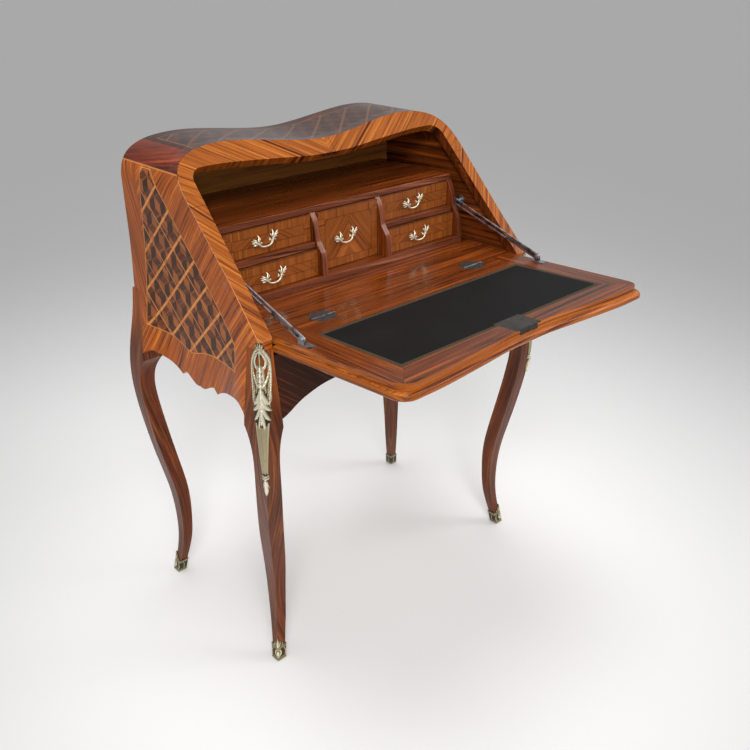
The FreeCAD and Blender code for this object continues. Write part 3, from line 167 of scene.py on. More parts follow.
class Recipe:
    """One procedural finish, built node by node."""

    def __init__(self, name):
        self.material = bpy.data.materials.new(name)
        self.material.use_nodes = True
        self.tree = self.material.node_tree
        self.tree.nodes.clear()
        self.output = self.tree.nodes.new("ShaderNodeOutputMaterial")
        self.shader = self.tree.nodes.new("ShaderNodeBsdfPrincipled")
        self.join(self.shader.outputs[0], self.output.inputs[0])
        coordinates = self.tree.nodes.new("ShaderNodeTexCoord")
        self.place = coordinates.outputs["Object"]
        self.facing = coordinates.outputs["Normal"]

    def join(self, source, target):
        if hasattr(source, "is_output"):
            self.tree.links.new(source, target)
        elif target.type == "RGBA" and len(source) == 3:
            target.default_value = (*source, 1.0)
        else:
            target.default_value = source

    def node(self, kind, *values, **settings):
        made = self.tree.nodes.new(kind)
        for key, value in settings.items():
            setattr(made, key, value)
        for place, value in enumerate(values):
            if value is not None:
                self.join(value, made.inputs[place])
        return made

    def sum(self, operation, *values):
        return self.node("ShaderNodeMath", *values, operation=operation).outputs[0]

    def spread(self, operation, *values):
        return self.node("ShaderNodeVectorMath", *values, operation=operation)

    def parts(self, vector):
        return self.node("ShaderNodeSeparateXYZ", vector).outputs

    def vector(self, x, y, z):
        return self.node("ShaderNodeCombineXYZ", x, y, z).outputs[0]

    def turned(self, vector, angle, axis="Z_AXIS"):
        made = self.node("ShaderNodeVectorRotate", vector, rotation_type=axis)
        self.join(angle, made.inputs["Angle"])
        return made.outputs[0]

    def stretched(self, vector, scale):
        return self.spread("MULTIPLY", vector, scale).outputs[0]

    def noise(self, vector, scale, detail, roughness, distortion=0.0):
        made = self.node("ShaderNodeTexNoise", noise_dimensions="3D")
        self.join(vector, made.inputs["Vector"])
        made.inputs["Scale"].default_value = scale
        made.inputs["Detail"].default_value = detail
        made.inputs["Roughness"].default_value = roughness
        made.inputs["Distortion"].default_value = distortion
        return made.outputs["Fac"]

    def spots(self, vector, scale):
        """How far a place is from the nearest of scattered points."""
        made = self.node("ShaderNodeTexVoronoi", feature="F1")
        self.join(vector, made.inputs["Vector"])
        made.inputs["Scale"].default_value = scale
        return made.outputs["Distance"]

    def ramp(self, share, *stops):
        made = self.node("ShaderNodeValToRGB", share)
        band = made.color_ramp
        while len(band.elements) < len(stops):
            band.elements.new(0.5)
        for element, (place, tone) in zip(band.elements, stops):
            element.position = place
            element.color = (*tone, 1.0)
        return made.outputs[0]

    def mix(self, kind, share, first, second):
        """Each kind of mix has a pair of inputs and an output of its own."""
        made = self.node("ShaderNodeMix", share, data_type=kind)
        slot = MIXES.index(kind)
        self.join(first, made.inputs[2 * slot + 2])
        self.join(second, made.inputs[2 * slot + 3])
        return made.outputs[slot]

    def blend(self, share, first, second):
        return self.mix("RGBA", share, first, second)

    def slide(self, share, first, second):
        return self.mix("FLOAT", share, first, second)

    def over(self, tone, share, strength, other):
        """A tone with another laid over it by a share, at a strength."""
        return self.blend(self.times(share, strength), tone, other)

    def step(self, value, low, high):
        """0 below low, 1 above high, smooth between."""
        made = self.tree.nodes.new("ShaderNodeMapRange")
        made.interpolation_type = "SMOOTHSTEP"
        self.join(value, made.inputs["Value"])
        made.inputs["From Min"].default_value = low
        made.inputs["From Max"].default_value = high
        return made.outputs[0]

    def past(self, value, edge, soft=0.0004):
        """1 where a value passes an edge."""
        return self.step(value, edge - soft, edge + soft)

    def between(self, value, low, high, soft):
        """1 where a value lies between two, fading over soft inside them."""
        return self.times(self.step(value, low, low + soft), self.step(value, high, high - soft))

    def seam(self, value, place, outer, inner):
        """1 within inner of a place, fading to 0 at outer."""
        return self.step(self.distance(self.minus(value, place)), outer, inner)

    def lines(self, value, pitch, width):
        """1 on lines of a width, one every pitch, 0 between them."""
        wave = self.sum("PINGPONG", value, pitch / 2)
        return self.step(wave, width / 2 + 0.0003, width / 2 - 0.0003)

    def times(self, first, *others):
        for other in others:
            first = self.sum("MULTIPLY", first, other)
        return first

    def plus(self, first, second):
        return self.sum("ADD", first, second)

    def minus(self, first, second):
        return self.sum("SUBTRACT", first, second)

    def distance(self, value):
        """How far a value is from nought."""
        return self.sum("ABSOLUTE", value)

    def least(self, first, *others):
        for other in others:
            first = self.sum("MINIMUM", first, other)
        return first

    def most(self, first, second):
        return self.sum("MAXIMUM", first, second)

    def surface(self, tone, rough, height=None, bump=0.14, coat=0.0, metallic=0.0, shine=0.16, depth=0.0003):
        self.join(tone, self.shader.inputs["Base Color"])
        self.join(rough, self.shader.inputs["Roughness"])
        self.shader.inputs["Metallic"].default_value = metallic
        self.shader.inputs["Specular IOR Level"].default_value = 0.5 if metallic else shine
        self.shader.inputs["IOR"].default_value = 1.5
        if coat:
            self.shader.inputs["Coat Weight"].default_value = coat
            self.shader.inputs["Coat Roughness"].default_value = 0.1
            self.shader.inputs["Coat IOR"].default_value = 1.3
        if height is not None:
            made = self.node("ShaderNodeBump")
            made.inputs["Strength"].default_value = bump
            made.inputs["Distance"].default_value = depth
            self.join(height, made.inputs["Height"])
            self.join(made.outputs[0], self.shader.inputs["Normal"])
        return self.material


PLANES = {"xy": (0, 1, 2), "yz": (1, 2, 0), "xz": (0, 2, 1)}


def flat(recipe, plane):
    """Object coordinates with the surface's own plane first."""
    parts = recipe.parts(recipe.place)
    return recipe.vector(*[parts[index] for index in PLANES[plane]])


# Layers of a wood's figure: how it is stretched along the grain, across it (as
# a share of the stripe) and out of the face, then detail, roughness, distortion.
FIGURE = ((3.0, 1.0, 12.0, 6.0, 0.68, 0.45),
          (2.0, 0.2, 4.0, 3.0, 0.55, 0.6),
          (5.0, 2.6, 20.0, 3.0, 0.6, 0.3),
          (34.0, 13.0, 60.0, 2.0, 0.7, 0.0))
POLISH_DIRT = (0.02, 0.01, 0.005)


def timber(recipe, place, angle, tones, stripe, seed=0.0):
    """Wood whose grain runs along place's X, turned by degrees: (colour, height)."""
    light, middle, dark = tones
    turned = recipe.turned(place, math.radians(angle))
    turned = recipe.spread("ADD", turned, (seed, seed * 1.7, seed * 0.6)).outputs[0]
    stripes, broad, veins, pores = [
        recipe.noise(recipe.stretched(turned, (along, stripe * across, out)), 1.0, *grain)
        for along, across, out, *grain in FIGURE]
    tone = recipe.ramp(stripes, (0.38, dark), (0.47, middle), (0.53, middle), (0.64, light))
    tone = recipe.over(tone, recipe.step(broad, 0.44, 0.68), 0.6, recipe.blend(0.4, middle, dark))
    tone = recipe.over(tone, recipe.step(veins, 0.55, 0.68), 0.7, dark)
    tone = recipe.over(tone, recipe.step(pores, 0.6, 0.74), 0.4, dark)
    return tone, recipe.plus(recipe.times(pores, -0.5), stripes)


def polish(recipe, low=0.2, high=0.42):
    """How dull the french polish is, a little uneven."""
    cloud = recipe.noise(recipe.place, 14.0, 4.0, 0.6)
    return recipe.slide(cloud, low, high)


def wear(recipe, tone, reach):
    """Slight darkening in clouds over the polish."""
    cloud = recipe.noise(recipe.place, 6.0, 5.0, 0.7)
    return recipe.over(tone, recipe.step(cloud, 0.55, 0.8), reach, recipe.blend(0.5, tone, POLISH_DIRT))


def polished(recipe, tone, height, worn, dull, coat, bump=0.14, shine=0.16):
    """French polished wood: how worn, how dull from and to, and how thickly coated."""
    return recipe.surface(wear(recipe, tone, worn), polish(recipe, *dull), height, bump, coat, shine=shine)


def plain_wood(name, plane, angle, tones, stripe, seed, dull=(0.2, 0.42), coat=0.35):
    recipe = Recipe(name)
    tone, height = timber(recipe, flat(recipe, plane), angle, tones, stripe, seed)
    return polished(recipe, tone, height, 0.5, dull, coat, 0.12)


def dress(material, *names):
    """Give CAD nodes a finish."""
    for name in names:
        node = NODES[name]
        node.data.materials.clear()
        node.data.materials.append(material)


# Width of the falling strips of the lattice, as a share of the rising ones.
FALLING_WIDTH = 0.55


def parquetry(recipe, place, offset_up, offset_down, slope):
    """Cubes of three woods under a lattice of light strips, over (x, y) of place."""
    palette, size = woods(), sizes()
    across, up, _ = recipe.parts(place)
    cell = (size.cube * 3.0, size.cube * math.sqrt(3.0), 1.0)
    here = recipe.vector(up, across, 0.0)
    corners = []
    for shift in (0.0, 0.5):
        moved = recipe.spread("ADD", here, (cell[0] * (10 + shift), cell[1] * (10 + shift), 0.0)).outputs[0]
        wrapped = recipe.spread("MODULO", moved, cell).outputs[0]
        corners.append(recipe.spread("SUBTRACT", wrapped, (cell[0] / 2, cell[1] / 2, 0.0)).outputs[0])
    lengths = [recipe.spread("LENGTH", corner).outputs["Value"] for corner in corners]
    nearer = recipe.sum("LESS_THAN", lengths[0], lengths[1])
    inside = recipe.parts(recipe.mix("VECTOR", nearer, corners[1], corners[0]))
    angle = recipe.sum("ARCTAN2", inside[1], inside[0])
    third = recipe.sum("FLOOR", recipe.sum("DIVIDE", recipe.plus(angle, math.pi * 2 + math.pi / 3),
                                           math.pi * 2 / 3))
    third = recipe.sum("MODULO", third, 3.0)
    first = recipe.sum("COMPARE", third, 0.0, 0.1)
    second = recipe.sum("COMPARE", third, 1.0, 0.1)
    dark, _ = timber(recipe, place, 90, (palette.king_mid, palette.king_dark, palette.king_dark), 90)
    middle, high = timber(recipe, place, 30, streaks("king"), 90, 3.0)
    light, _ = timber(recipe, place, -30, (palette.tulip_mid, palette.king_light, palette.king_mid), 90, 7.0)
    tone = recipe.blend(first, recipe.blend(second, dark, light), middle)
    rising = recipe.plus(up, recipe.times(across, slope))
    falling = recipe.minus(up, recipe.times(across, slope))
    strip = size.strip * math.hypot(1, slope)
    up_lines = recipe.lines(recipe.minus(rising, offset_up), size.lattice, strip)
    down_lines = recipe.lines(recipe.minus(falling, offset_down), size.lattice, strip * FALLING_WIDTH)
    fillet, _ = timber(recipe, place, -45, (palette.fillet, palette.fillet, palette.tulip_mid), 120, 5.0)
    tone = recipe.over(tone, down_lines, 0.75, fillet)
    tone = recipe.blend(up_lines, tone, fillet)
    return tone, recipe.plus(high, recipe.plus(up_lines, down_lines))


# ---------------------------------------------------------------- mesh helpers
def add_mesh(name, build, body, material, replaces):
    """A new piece from bmesh code, riding a body."""
    mesh = bpy.data.meshes.new(name)
    work = bmesh.new()
    build(work)
    bmesh.ops.recalc_face_normals(work, faces=work.faces)
    work.to_mesh(mesh)
    work.free()
    for polygon in mesh.polygons:
        polygon.use_smooth = True
    piece = bpy.data.objects.new(name, mesh)
    bpy.context.scene.collection.objects.link(piece)
    mesh.materials.append(material)
    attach(piece, body)
    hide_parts(*replaces)
    return piece


def bridge(work, first, second, closed=False):
    """Faces between two rows of points."""
    for index in range(len(first) if closed else len(first) - 1):
        after = (index + 1) % len(first)
        work.faces.new((first[index], first[after], second[after], second[index]))


def tube(work, points, radii, sides, flat_share, up):
    """A flattened rod through points, its radius given at each."""
    rings = []
    count = len(points)
    for index, point in enumerate(points):
        ahead = points[min(index + 1, count - 1)] - points[max(index - 1, 0)]
        ahead.normalize()
        side = ahead.cross(up)
        if side.length < 1e-4:
            side = ahead.cross(Vector((1, 0, 0)))
        side.normalize()
        over = side.cross(ahead).normalized()
        radius = radii[index]
        ring = []
        for turn in range(sides):
            angle = 2 * math.pi * turn / sides
            ring.append(work.verts.new(point + side * math.cos(angle) * radius
                                       + over * math.sin(angle) * radius * flat_share))
        rings.append(ring)
    for low, high in zip(rings, rings[1:]):
        bridge(work, low, high, closed=True)
    work.faces.new(list(reversed(rings[0])))
    work.faces.new(rings[-1])


def smooth_path(points, steps):
    """Points along a smooth curve through the given ones, with the last number
    of each (such as a radius) carried along."""
    out = []
    count = len(points)
    for index in range(count - 1):
        p0 = points[max(index - 1, 0)]
        p1, p2 = points[index], points[index + 1]
        p3 = points[min(index + 2, count - 1)]
        for step in range(steps):
            t = step / steps
            out.append(tuple(
                0.5 * (2 * b + (c - a) * t + (2 * a - 5 * b + 4 * c - d) * t * t + (3 * b - a - 3 * c + d) * t ** 3)
                for a, b, c, d in zip(p0, p1, p2, p3)))
    out.append(tuple(points[-1]))
    return out


# ---------------------------------------------------------------- finishes
# Height of the seam between a side's veneer and the rounded shoulder.
SHOULDER = 0.941
# Edges of a side's parquetry: the rear one leans, the front one follows the
# slope, and the lower one dips at the scallop.
SIDE_REAR, SIDE_LEAN = 0.3561, -0.078
SIDE_FRONT, SIDE_FRONT_LEVEL = 0.014, 0.6864
SIDE_STEEPNESS, SIDE_SQUARE = 1.071, 0.731
SIDE_TOE, SIDE_FOOT, SIDE_HEAD = 0.007, 0.628, SHOULDER - 0.0035
SCALLOP, SCALLOP_HALF, SCALLOP_DIP = 0.165, 0.04, 0.017
# Where the rear border begins, and the side's inner face.
REAR_BORDER = 0.298
SIDE_INNER = 0.3216, 0.3212
# A lattice: where a rising and a falling strip pass, and their slope.
SIDE_LATTICE = (0.843, 0.4105, 0.95)
TOP_LATTICE = (0.35, 0.031, -1.0)
FALL_LATTICE = (0.01, 0.01, 1.0)


def side_field(recipe, y, z):
    """How far a place lies inside the edge of a side's parquetry."""
    rear = recipe.minus(recipe.sum("MULTIPLY_ADD", z, SIDE_LEAN, SIDE_REAR), y)
    front = recipe.times(recipe.minus(recipe.minus(y, SIDE_FRONT), recipe.sum(
        "DIVIDE", recipe.minus(z, SIDE_FRONT_LEVEL), SIDE_STEEPNESS)), SIDE_SQUARE)
    toe = recipe.minus(y, SIDE_TOE)
    away = recipe.sum("DIVIDE", recipe.minus(y, SCALLOP), SCALLOP_HALF)
    dip = recipe.sum("EXPONENT", recipe.times(away, away, -1.0))
    low = recipe.plus(recipe.minus(z, SIDE_FOOT), recipe.times(dip, SCALLOP_DIP))
    return recipe.least(rear, front, toe, low, recipe.minus(SIDE_HEAD, z))


def side_tone(recipe):
    """Side veneer: parquetry in a crossbanded border, and plain wood within."""
    place = flat(recipe, "yz")
    y, z, x = recipe.parts(place)
    field = side_field(recipe, y, z)
    cubes, relief = parquetry(recipe, place, *SIDE_LATTICE)
    rear, height = timber(recipe, place, -70, streaks("band"), 150, 1.0)
    front, _ = timber(recipe, place, 50, streaks("band"), 150, 4.0)
    low, _ = timber(recipe, place, 60, streaks("band"), 150, 6.0)
    edging = recipe.blend(recipe.past(y, REAR_BORDER, 0.004), front, rear)
    under = recipe.times(recipe.step(z, 0.632, 0.626), recipe.step(y, 0.0, 0.03))
    edging = recipe.blend(under, edging, low)
    shoulder, _ = timber(recipe, place, 8, streaks("shoulder"), 110, 9.0)
    edging = recipe.blend(recipe.past(z, SHOULDER, 0.0006), edging, shoulder)
    tone = recipe.blend(recipe.past(field, 0.0), edging, cubes)
    tone = recipe.over(tone, recipe.between(field, -0.001, 0.0016, 0.0008), 0.8, woods().fillet)
    inner, _ = timber(recipe, place, 2, streaks("inside"), 120, 3.0)
    tone = recipe.blend(recipe.step(recipe.distance(x), *SIDE_INNER), tone, inner)
    return wear(recipe, tone, 0.35), recipe.plus(height, recipe.times(relief, 0.4))


def side_finish():
    recipe = Recipe("side_veneer")
    tone, height = side_tone(recipe)
    return recipe.surface(tone, polish(recipe), height, 0.16, 0.3)


# Half the width and the depth of the top's parquetry, and how far from the
# middle the shoulder's veneer and the side's begin.
TOP_HALF, TOP_DEEP = 0.276, 0.322
SHOULDER_FROM, SIDE_FROM = 0.290, 0.30


def top_tone(recipe, side):
    """The top's veneer, seen from above, over a side's tone."""
    palette = woods()
    place = flat(recipe, "xy")
    x, y, z = recipe.parts(place)
    across = recipe.distance(x)
    cubes, relief = parquetry(recipe, place, *TOP_LATTICE)
    edging, height = timber(recipe, place, -20, (palette.shoulder_mid, palette.shoulder_dark, palette.top_ground),
                            130, 2.0)
    field = recipe.least(recipe.minus(TOP_HALF, across), recipe.minus(TOP_DEEP, y))
    tone = recipe.blend(recipe.past(field, 0.0), edging, recipe.blend(0.82, cubes, palette.top_ground))
    line = recipe.times(recipe.past(field, -0.0012), recipe.step(field, 0.0012, 0.0006))
    tone = recipe.over(tone, line, 0.3, palette.fillet)
    shoulder, _ = timber(recipe, flat(recipe, "yz"), 8, streaks("shoulder"), 110, 9.0)
    tone = recipe.blend(recipe.past(across, SHOULDER_FROM, 0.001), tone, shoulder)
    outside = recipe.past(across, SIDE_FROM, 0.001)
    tone = recipe.blend(recipe.times(outside, recipe.step(z, SHOULDER + 0.0006, SHOULDER - 0.0006)), tone, side)
    seam = recipe.times(outside, recipe.seam(z, SHOULDER, 0.0016, 0.0008))
    tone = recipe.over(tone, seam, 0.7, palette.fillet)
    return tone, recipe.plus(height, recipe.times(relief, 0.4))


def top_finish():
    recipe = Recipe("top_veneer")
    side, _ = side_tone(recipe)
    tone, height = top_tone(recipe, side)
    upward = recipe.parts(recipe.facing)[2]
    inner, _ = timber(recipe, flat(recipe, "xy"), 0, streaks("inside"), 110, 2.0)
    tone = recipe.blend(recipe.step(upward, 0.0, -0.2), tone, inner)
    return polished(recipe, tone, height, 0.35, (0.22, 0.4), 0.3, 0.15, shine=0.1)


# The fall's hinge line; the slope's plane and the open fall's, as turns about it.
HINGE = Vector((0.0, -0.04926, 0.7065))
SLOPE = math.radians(46)
OPEN = math.radians(177)


def from_hinge(recipe, angle):
    """Object coordinates laid in a plane through the hinge: across it, away from
    the hinge, and out of it."""
    moved = recipe.spread("SUBTRACT", recipe.place, tuple(HINGE)).outputs[0]
    return recipe.turned(moved, -angle, "X_AXIS")


def out_of_slope(point):
    """How far a point lies out from the slope's plane through the hinges."""
    return (point.z - HINGE.z) * math.cos(SLOPE) - (point.y - HINGE.y) * math.sin(SLOPE)


# Up the slope, where the stiles' figure gives way to the rail's; the rail's seam;
# and how far out a face of the frame belongs to the side.
RAIL_FROM = 0.262, 0.274
RAIL_SEAM = 0.012
FRAME_SIDE = 0.3375, 0.3385


def frame_finish():
    """Stiles and rail: diagonal crossbanding on the slope, the side's and the
    top's veneer carried over their other faces."""
    palette = woods()
    recipe = Recipe("frame_veneer")
    across, rising, out = recipe.parts(from_hinge(recipe, SLOPE))
    mirrored = recipe.vector(recipe.times(recipe.distance(across), -1.0), rising, out)
    stile, height = timber(recipe, mirrored, 52, streaks("tulip"), 210, 2.0)
    rail, _ = timber(recipe, mirrored, 36, streaks("tulip"), 200, 5.0)
    slope = recipe.blend(recipe.step(rising, *RAIL_FROM), stile, rail)
    slope = recipe.over(slope, recipe.seam(across, RAIL_SEAM, 0.0009, 0.0004), 0.6, palette.tulip_dark)
    side, _ = side_tone(recipe)
    above, _ = top_tone(recipe, side)
    right, back, up = recipe.parts(recipe.facing)
    sideways = recipe.distance(right)
    rounded = recipe.times(recipe.step(sideways, 0.25, 0.35), recipe.step(up, 0.02, 0.1))
    upward = recipe.times(recipe.most(rounded, recipe.step(up, 0.55, 0.7)), recipe.step(back, -0.4, -0.2))
    inner, _ = timber(recipe, flat(recipe, "xy"), 0, streaks("inside"), 110, 2.0)
    # Painted shade: faces of the frame that look downward, such as the rail's soffit, are darkened towards the
    # interior's dark streak.
    inner = recipe.over(inner, recipe.step(up, 0.1, -0.4), 0.85, palette.inside_dark)
    outer = recipe.step(recipe.distance(recipe.parts(recipe.place)[0]), *FRAME_SIDE)
    face = max(out_of_slope(vertex.co) for vertex in NODES["left_stile"].data.vertices)
    line = sizes().arris_highlight_line
    # Painted highlight: a pale line along the front arris on the side faces; the faces above get a dark line there.
    arris = recipe.step(out, face - line * 1.4, face - line)
    side = recipe.over(side, arris, 0.85, palette.arris)
    above = recipe.over(above, arris, 0.8, palette.tulip_dark)
    tone = recipe.blend(recipe.step(back, -0.5, -0.62), inner, slope)
    tone = recipe.blend(upward, tone, above)
    tone = recipe.over(tone, recipe.step(sideways, 0.6, 0.75), outer, side)
    front = recipe.times(recipe.step(back, -0.85, -0.93), recipe.step(out, 0.02, 0.0))
    tone = recipe.blend(front, tone, side)
    return polished(recipe, tone, height, 0.3, (0.2, 0.36), 0.4, 0.16)


def gilt_finish(name, cast):
    """Worn gilding, darkened in the hollows by dirt and painted shade; a cast piece carries its own relief as 'rise'.
    """
    palette = metals()
    recipe = Recipe(name)
    hollow = recipe.node("ShaderNodeAmbientOcclusion")
    hollow.samples = 6
    hollow.inputs["Distance"].default_value = 0.005
    cloud = recipe.noise(recipe.place, 160.0, 3.0, 0.6)
    # Dirt and painted shade: darker where the ambient occlusion finds hollows.
    hollow_dirt_and_shade = recipe.times(recipe.step(hollow.outputs["AO"], 0.9, 0.35), 0.92)
    ground, rubbed = (palette.gilt, palette.gilt_warm) if cast else (palette.gilt_bright, palette.gilt)
    tone = recipe.over(ground, recipe.step(cloud, 0.45, 0.75), 0.35, rubbed)
    if cast:
        rise = recipe.node("ShaderNodeAttribute", attribute_name="rise").outputs["Fac"]
        # Dirt and painted shade: darker where the relief sinks low, on the sheet between the stems and in the openings.
        hollow_dirt_and_shade = recipe.most(hollow_dirt_and_shade, recipe.times(recipe.step(rise, 0.42, 0.12), 0.94))
        tone = recipe.blend(recipe.step(rise, 0.5, 0.95), tone, palette.gilt_bright)
    tone = recipe.blend(hollow_dirt_and_shade, tone, palette.gilt_dirt_and_shade)
    return recipe.surface(tone, recipe.slide(cloud, 0.26, 0.42), cloud, 0.25, metallic=0.7, depth=0.0004)


SCRATCH = (0.75, 0.75, 0.75)


def metal_finish(name, tone, stain, pits, dull, metallic):
    """Worn, lightly pitted and scratched steel."""
    recipe = Recipe(name)
    cloud = recipe.noise(recipe.place, pits, 5.0, 0.65)
    scratch = recipe.noise(recipe.stretched(recipe.place, (900, 900, 900)), 1.0, 3.0, 0.7)
    mixed = recipe.blend(recipe.step(cloud, 0.4, 0.72), tone, stain)
    mixed = recipe.over(mixed, recipe.step(scratch, 0.58, 0.7), 0.35, SCRATCH)
    return recipe.surface(mixed, recipe.slide(scratch, *dull), recipe.plus(cloud, scratch), 0.2,
                          metallic=metallic)


# Half the leather's width, its near and far edges from the hinge, and the two
# rules tooled round it, each from and to a distance inside its edge.
LEATHER_HALF, LEATHER_NEAR, LEATHER_FAR = 0.261, 0.062, 0.264
LEATHER_RULES = ((0.0012, 0.0028), (0.0054, 0.0072))


def leather_finish():
    """Black skiver with a tooled border, laid on the fall."""
    palette, size = metals(), sizes()
    recipe = Recipe("leather")
    place = from_hinge(recipe, OPEN)
    x, u, _ = recipe.parts(place)
    edge = recipe.least(recipe.minus(LEATHER_HALF, recipe.distance(x)), recipe.minus(u, LEATHER_NEAR),
                        recipe.minus(LEATHER_FAR, u))
    grain = recipe.plus(recipe.spots(place, 900), recipe.noise(place, 300, 3.0, 0.6))
    cloud = recipe.noise(place, 12.0, 5.0, 0.65)
    tone = recipe.over(palette.leather, recipe.step(cloud, 0.4, 0.75), 0.5, palette.leather_worn)
    border = recipe.step(edge, size.tooled, size.tooled - 0.0008)
    wave = recipe.sum("SINE", recipe.times(recipe.plus(x, u), 1100.0))
    pattern = recipe.sum("MULTIPLY_ADD", wave, 0.25, 0.55)
    rule = recipe.most(*[recipe.between(edge, low, high, 0.0004) for low, high in LEATHER_RULES])
    worn = recipe.noise(place, 60.0, 4.0, 0.7)
    tooled = recipe.times(border, recipe.most(recipe.times(pattern, 0.75), rule), recipe.slide(worn, 0.55, 1.0))
    tone = recipe.blend(tooled, tone, palette.tooling)
    height = recipe.minus(grain, recipe.times(tooled, 0.8))
    return recipe.surface(tone, recipe.slide(cloud, 0.55, 0.72), height, 0.3)


# The fall, from its middle line and from the hinge: the mitres' corner, where its
# end borders begin, its outer parquetry's edges, and how deep its inner skin is.
MITRE_ACROSS, MITRE_ALONG = 0.250, 0.259
FALL_ENDS, FALL_MITRED = 0.2612, 0.25
FALL_HALF, FALL_NEAR, FALL_FAR = 0.262, 0.055, 0.262
FALL_SKIN = 0.02, 0.022


def fall_finish():
    """The fall: mitred borders round the leather, parquetry on its outer face."""
    palette = woods()
    recipe = Recipe("fall_veneer")
    place = from_hinge(recipe, OPEN)
    x, u, depth = recipe.parts(place)
    across = recipe.distance(x)
    lengthwise, height = timber(recipe, place, 1, streaks("inside"), 120, 1.0)
    endwise, _ = timber(recipe, place, 88, streaks("inside"), 120, 4.0)
    mitre = recipe.minus(recipe.minus(across, MITRE_ACROSS), recipe.minus(u, MITRE_ALONG))
    ends = recipe.times(recipe.past(mitre, 0.0, 0.0003), recipe.past(across, FALL_ENDS))
    tone = recipe.blend(ends, lengthwise, endwise)
    seam = recipe.times(recipe.step(recipe.distance(mitre), 0.0008, 0.0003), recipe.past(u, FALL_MITRED))
    tone = recipe.over(tone, seam, 0.7, palette.inside_dark)
    cubes, _ = parquetry(recipe, place, *FALL_LATTICE)
    edge, _ = timber(recipe, recipe.vector(recipe.plus(x, u), depth, u), 0, streaks("tulip"), 230, 7.0)
    upright = recipe.step(recipe.distance(recipe.parts(recipe.facing)[2]), 0.75, 0.6)
    rim = recipe.least(recipe.minus(FALL_HALF, across), recipe.minus(u, FALL_NEAR), recipe.minus(FALL_FAR, u))
    outside, _ = timber(recipe, place, 45, streaks("band"), 150, 2.0)
    outside = recipe.blend(recipe.past(rim, 0.0), outside, cubes)
    tone = recipe.blend(recipe.step(depth, *FALL_SKIN), tone, outside)
    tone = recipe.blend(upright, tone, edge)
    return polished(recipe, tone, height, 0.45, (0.18, 0.36), 0.45)


# How fine the stripes are in a drawer front's banding and in its field.
BANDING_STRIPE, FIELD_STRIPE = 240, 90


def front_finish(name, tilt):
    """A drawer front: mitred crossbanding round a field of diagonal grain that
    opens out from the middle."""
    dark, band = woods().inside_dark, sizes().band
    low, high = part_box(name)
    recipe = Recipe(name + "_veneer")
    place = flat(recipe, "xz")
    x, z, depth = recipe.parts(place)
    middle = (low + high) / 2
    across = recipe.distance(recipe.minus(x, middle.x))
    up = recipe.minus(z, middle.z)
    side = recipe.minus((high.x - low.x) / 2, across)
    end = recipe.minus((high.z - low.z) / 2, recipe.distance(up))
    edge = recipe.least(side, end)
    upright, height = timber(recipe, place, 90, streaks("front"), BANDING_STRIPE, 2.0)
    level, _ = timber(recipe, place, 0, streaks("front"), BANDING_STRIPE, 4.0)
    mitre = recipe.minus(side, end)
    banding = recipe.blend(recipe.past(mitre, 0.0, 0.0002), level, upright)
    field, _ = timber(recipe, recipe.vector(across, up, depth), tilt, streaks("front"), FIELD_STRIPE, 6.0)
    tone = recipe.blend(recipe.past(edge, band), banding, field)
    tone = recipe.over(tone, recipe.seam(edge, band, 0.0012, 0.0005), 0.45, dark)
    seam = recipe.times(recipe.step(recipe.distance(mitre), 0.0007, 0.0002), recipe.step(edge, band, 0.015))
    tone = recipe.over(tone, seam, 0.5, dark)
    # Painted shade: a dark line round the front's very edge, for the shadow in the gaps round the drawer.
    tone = recipe.over(tone, recipe.step(edge, 0.0016, 0.0006), 0.6, dark)
    return polished(recipe, tone, height, 0.35, (0.2, 0.36), 0.4)


def nosed(name, plane, board_angle, board_seed, edge_angle, edge_seed):
    """Boards of the case with a rounded reddish nosing: the recipe, the directions
    its faces look in, the board, the nosing and the height."""
    palette = woods()
    recipe = Recipe(name)
    board, height = timber(recipe, flat(recipe, plane), board_angle, streaks("inside"), 100, board_seed)
    edge, _ = timber(recipe, flat(recipe, "xz"), edge_angle,
                     (palette.nosing_light, palette.nosing_mid, palette.inside_dark), 160, edge_seed)
    return recipe, recipe.parts(recipe.facing), board, edge, height


def case_finish():
    """Level boards of the case, with their nosings on the front edges."""
    recipe, facing, board, edge, height = nosed("case_wood", "xy", 0, 1.0, 4, 3.0)
    tone = recipe.blend(recipe.step(facing[1], -0.4, -0.7), board, edge)
    return polished(recipe, tone, height, 0.4, (0.2, 0.36), 0.35)


def partition_finish():
    """Uprights of the case, with their nosings on all but their broad faces."""
    recipe, facing, board, edge, height = nosed("partition_wood", "yz", 90, 2.0, 90, 5.0)
    tone = recipe.blend(recipe.step(recipe.distance(facing[0]), 0.75, 0.6), board, edge)
    return polished(recipe, tone, height, 0.3, (0.16, 0.3), 0.5)


# Where the leg's wood passes into the side's border, and the colour of a worm hole.
LEG_HEAD = 0.56, 0.66
WORM_HOLE = (0.01, 0.006, 0.004)


def leg_finish():
    """Legs: grain running up and down, figured across both outer faces."""
    recipe = Recipe("leg_wood")
    x, y, z = recipe.parts(recipe.place)
    place = recipe.vector(z, recipe.plus(x, y), recipe.minus(x, y))
    tone, height = timber(recipe, place, 4, streaks("leg"), 130, 3.0)
    cloud = recipe.noise(recipe.place, 9.0, 4.0, 0.6)
    tone = recipe.over(tone, recipe.step(cloud, 0.45, 0.7), 0.35, woods().leg_red)
    top, _ = timber(recipe, place, -12, streaks("band"), 150, 8.0)
    tone = recipe.blend(recipe.step(z, *LEG_HEAD), tone, recipe.blend(0.35, top, tone))
    holes = recipe.times(recipe.step(recipe.spots(recipe.place, 42), 0.035, 0.025), recipe.step(cloud, 0.52, 0.6))
    tone = recipe.over(tone, holes, 0.8, WORM_HOLE)
    return polished(recipe, tone, height, 0.5, (0.26, 0.46), 0.3, 0.16)


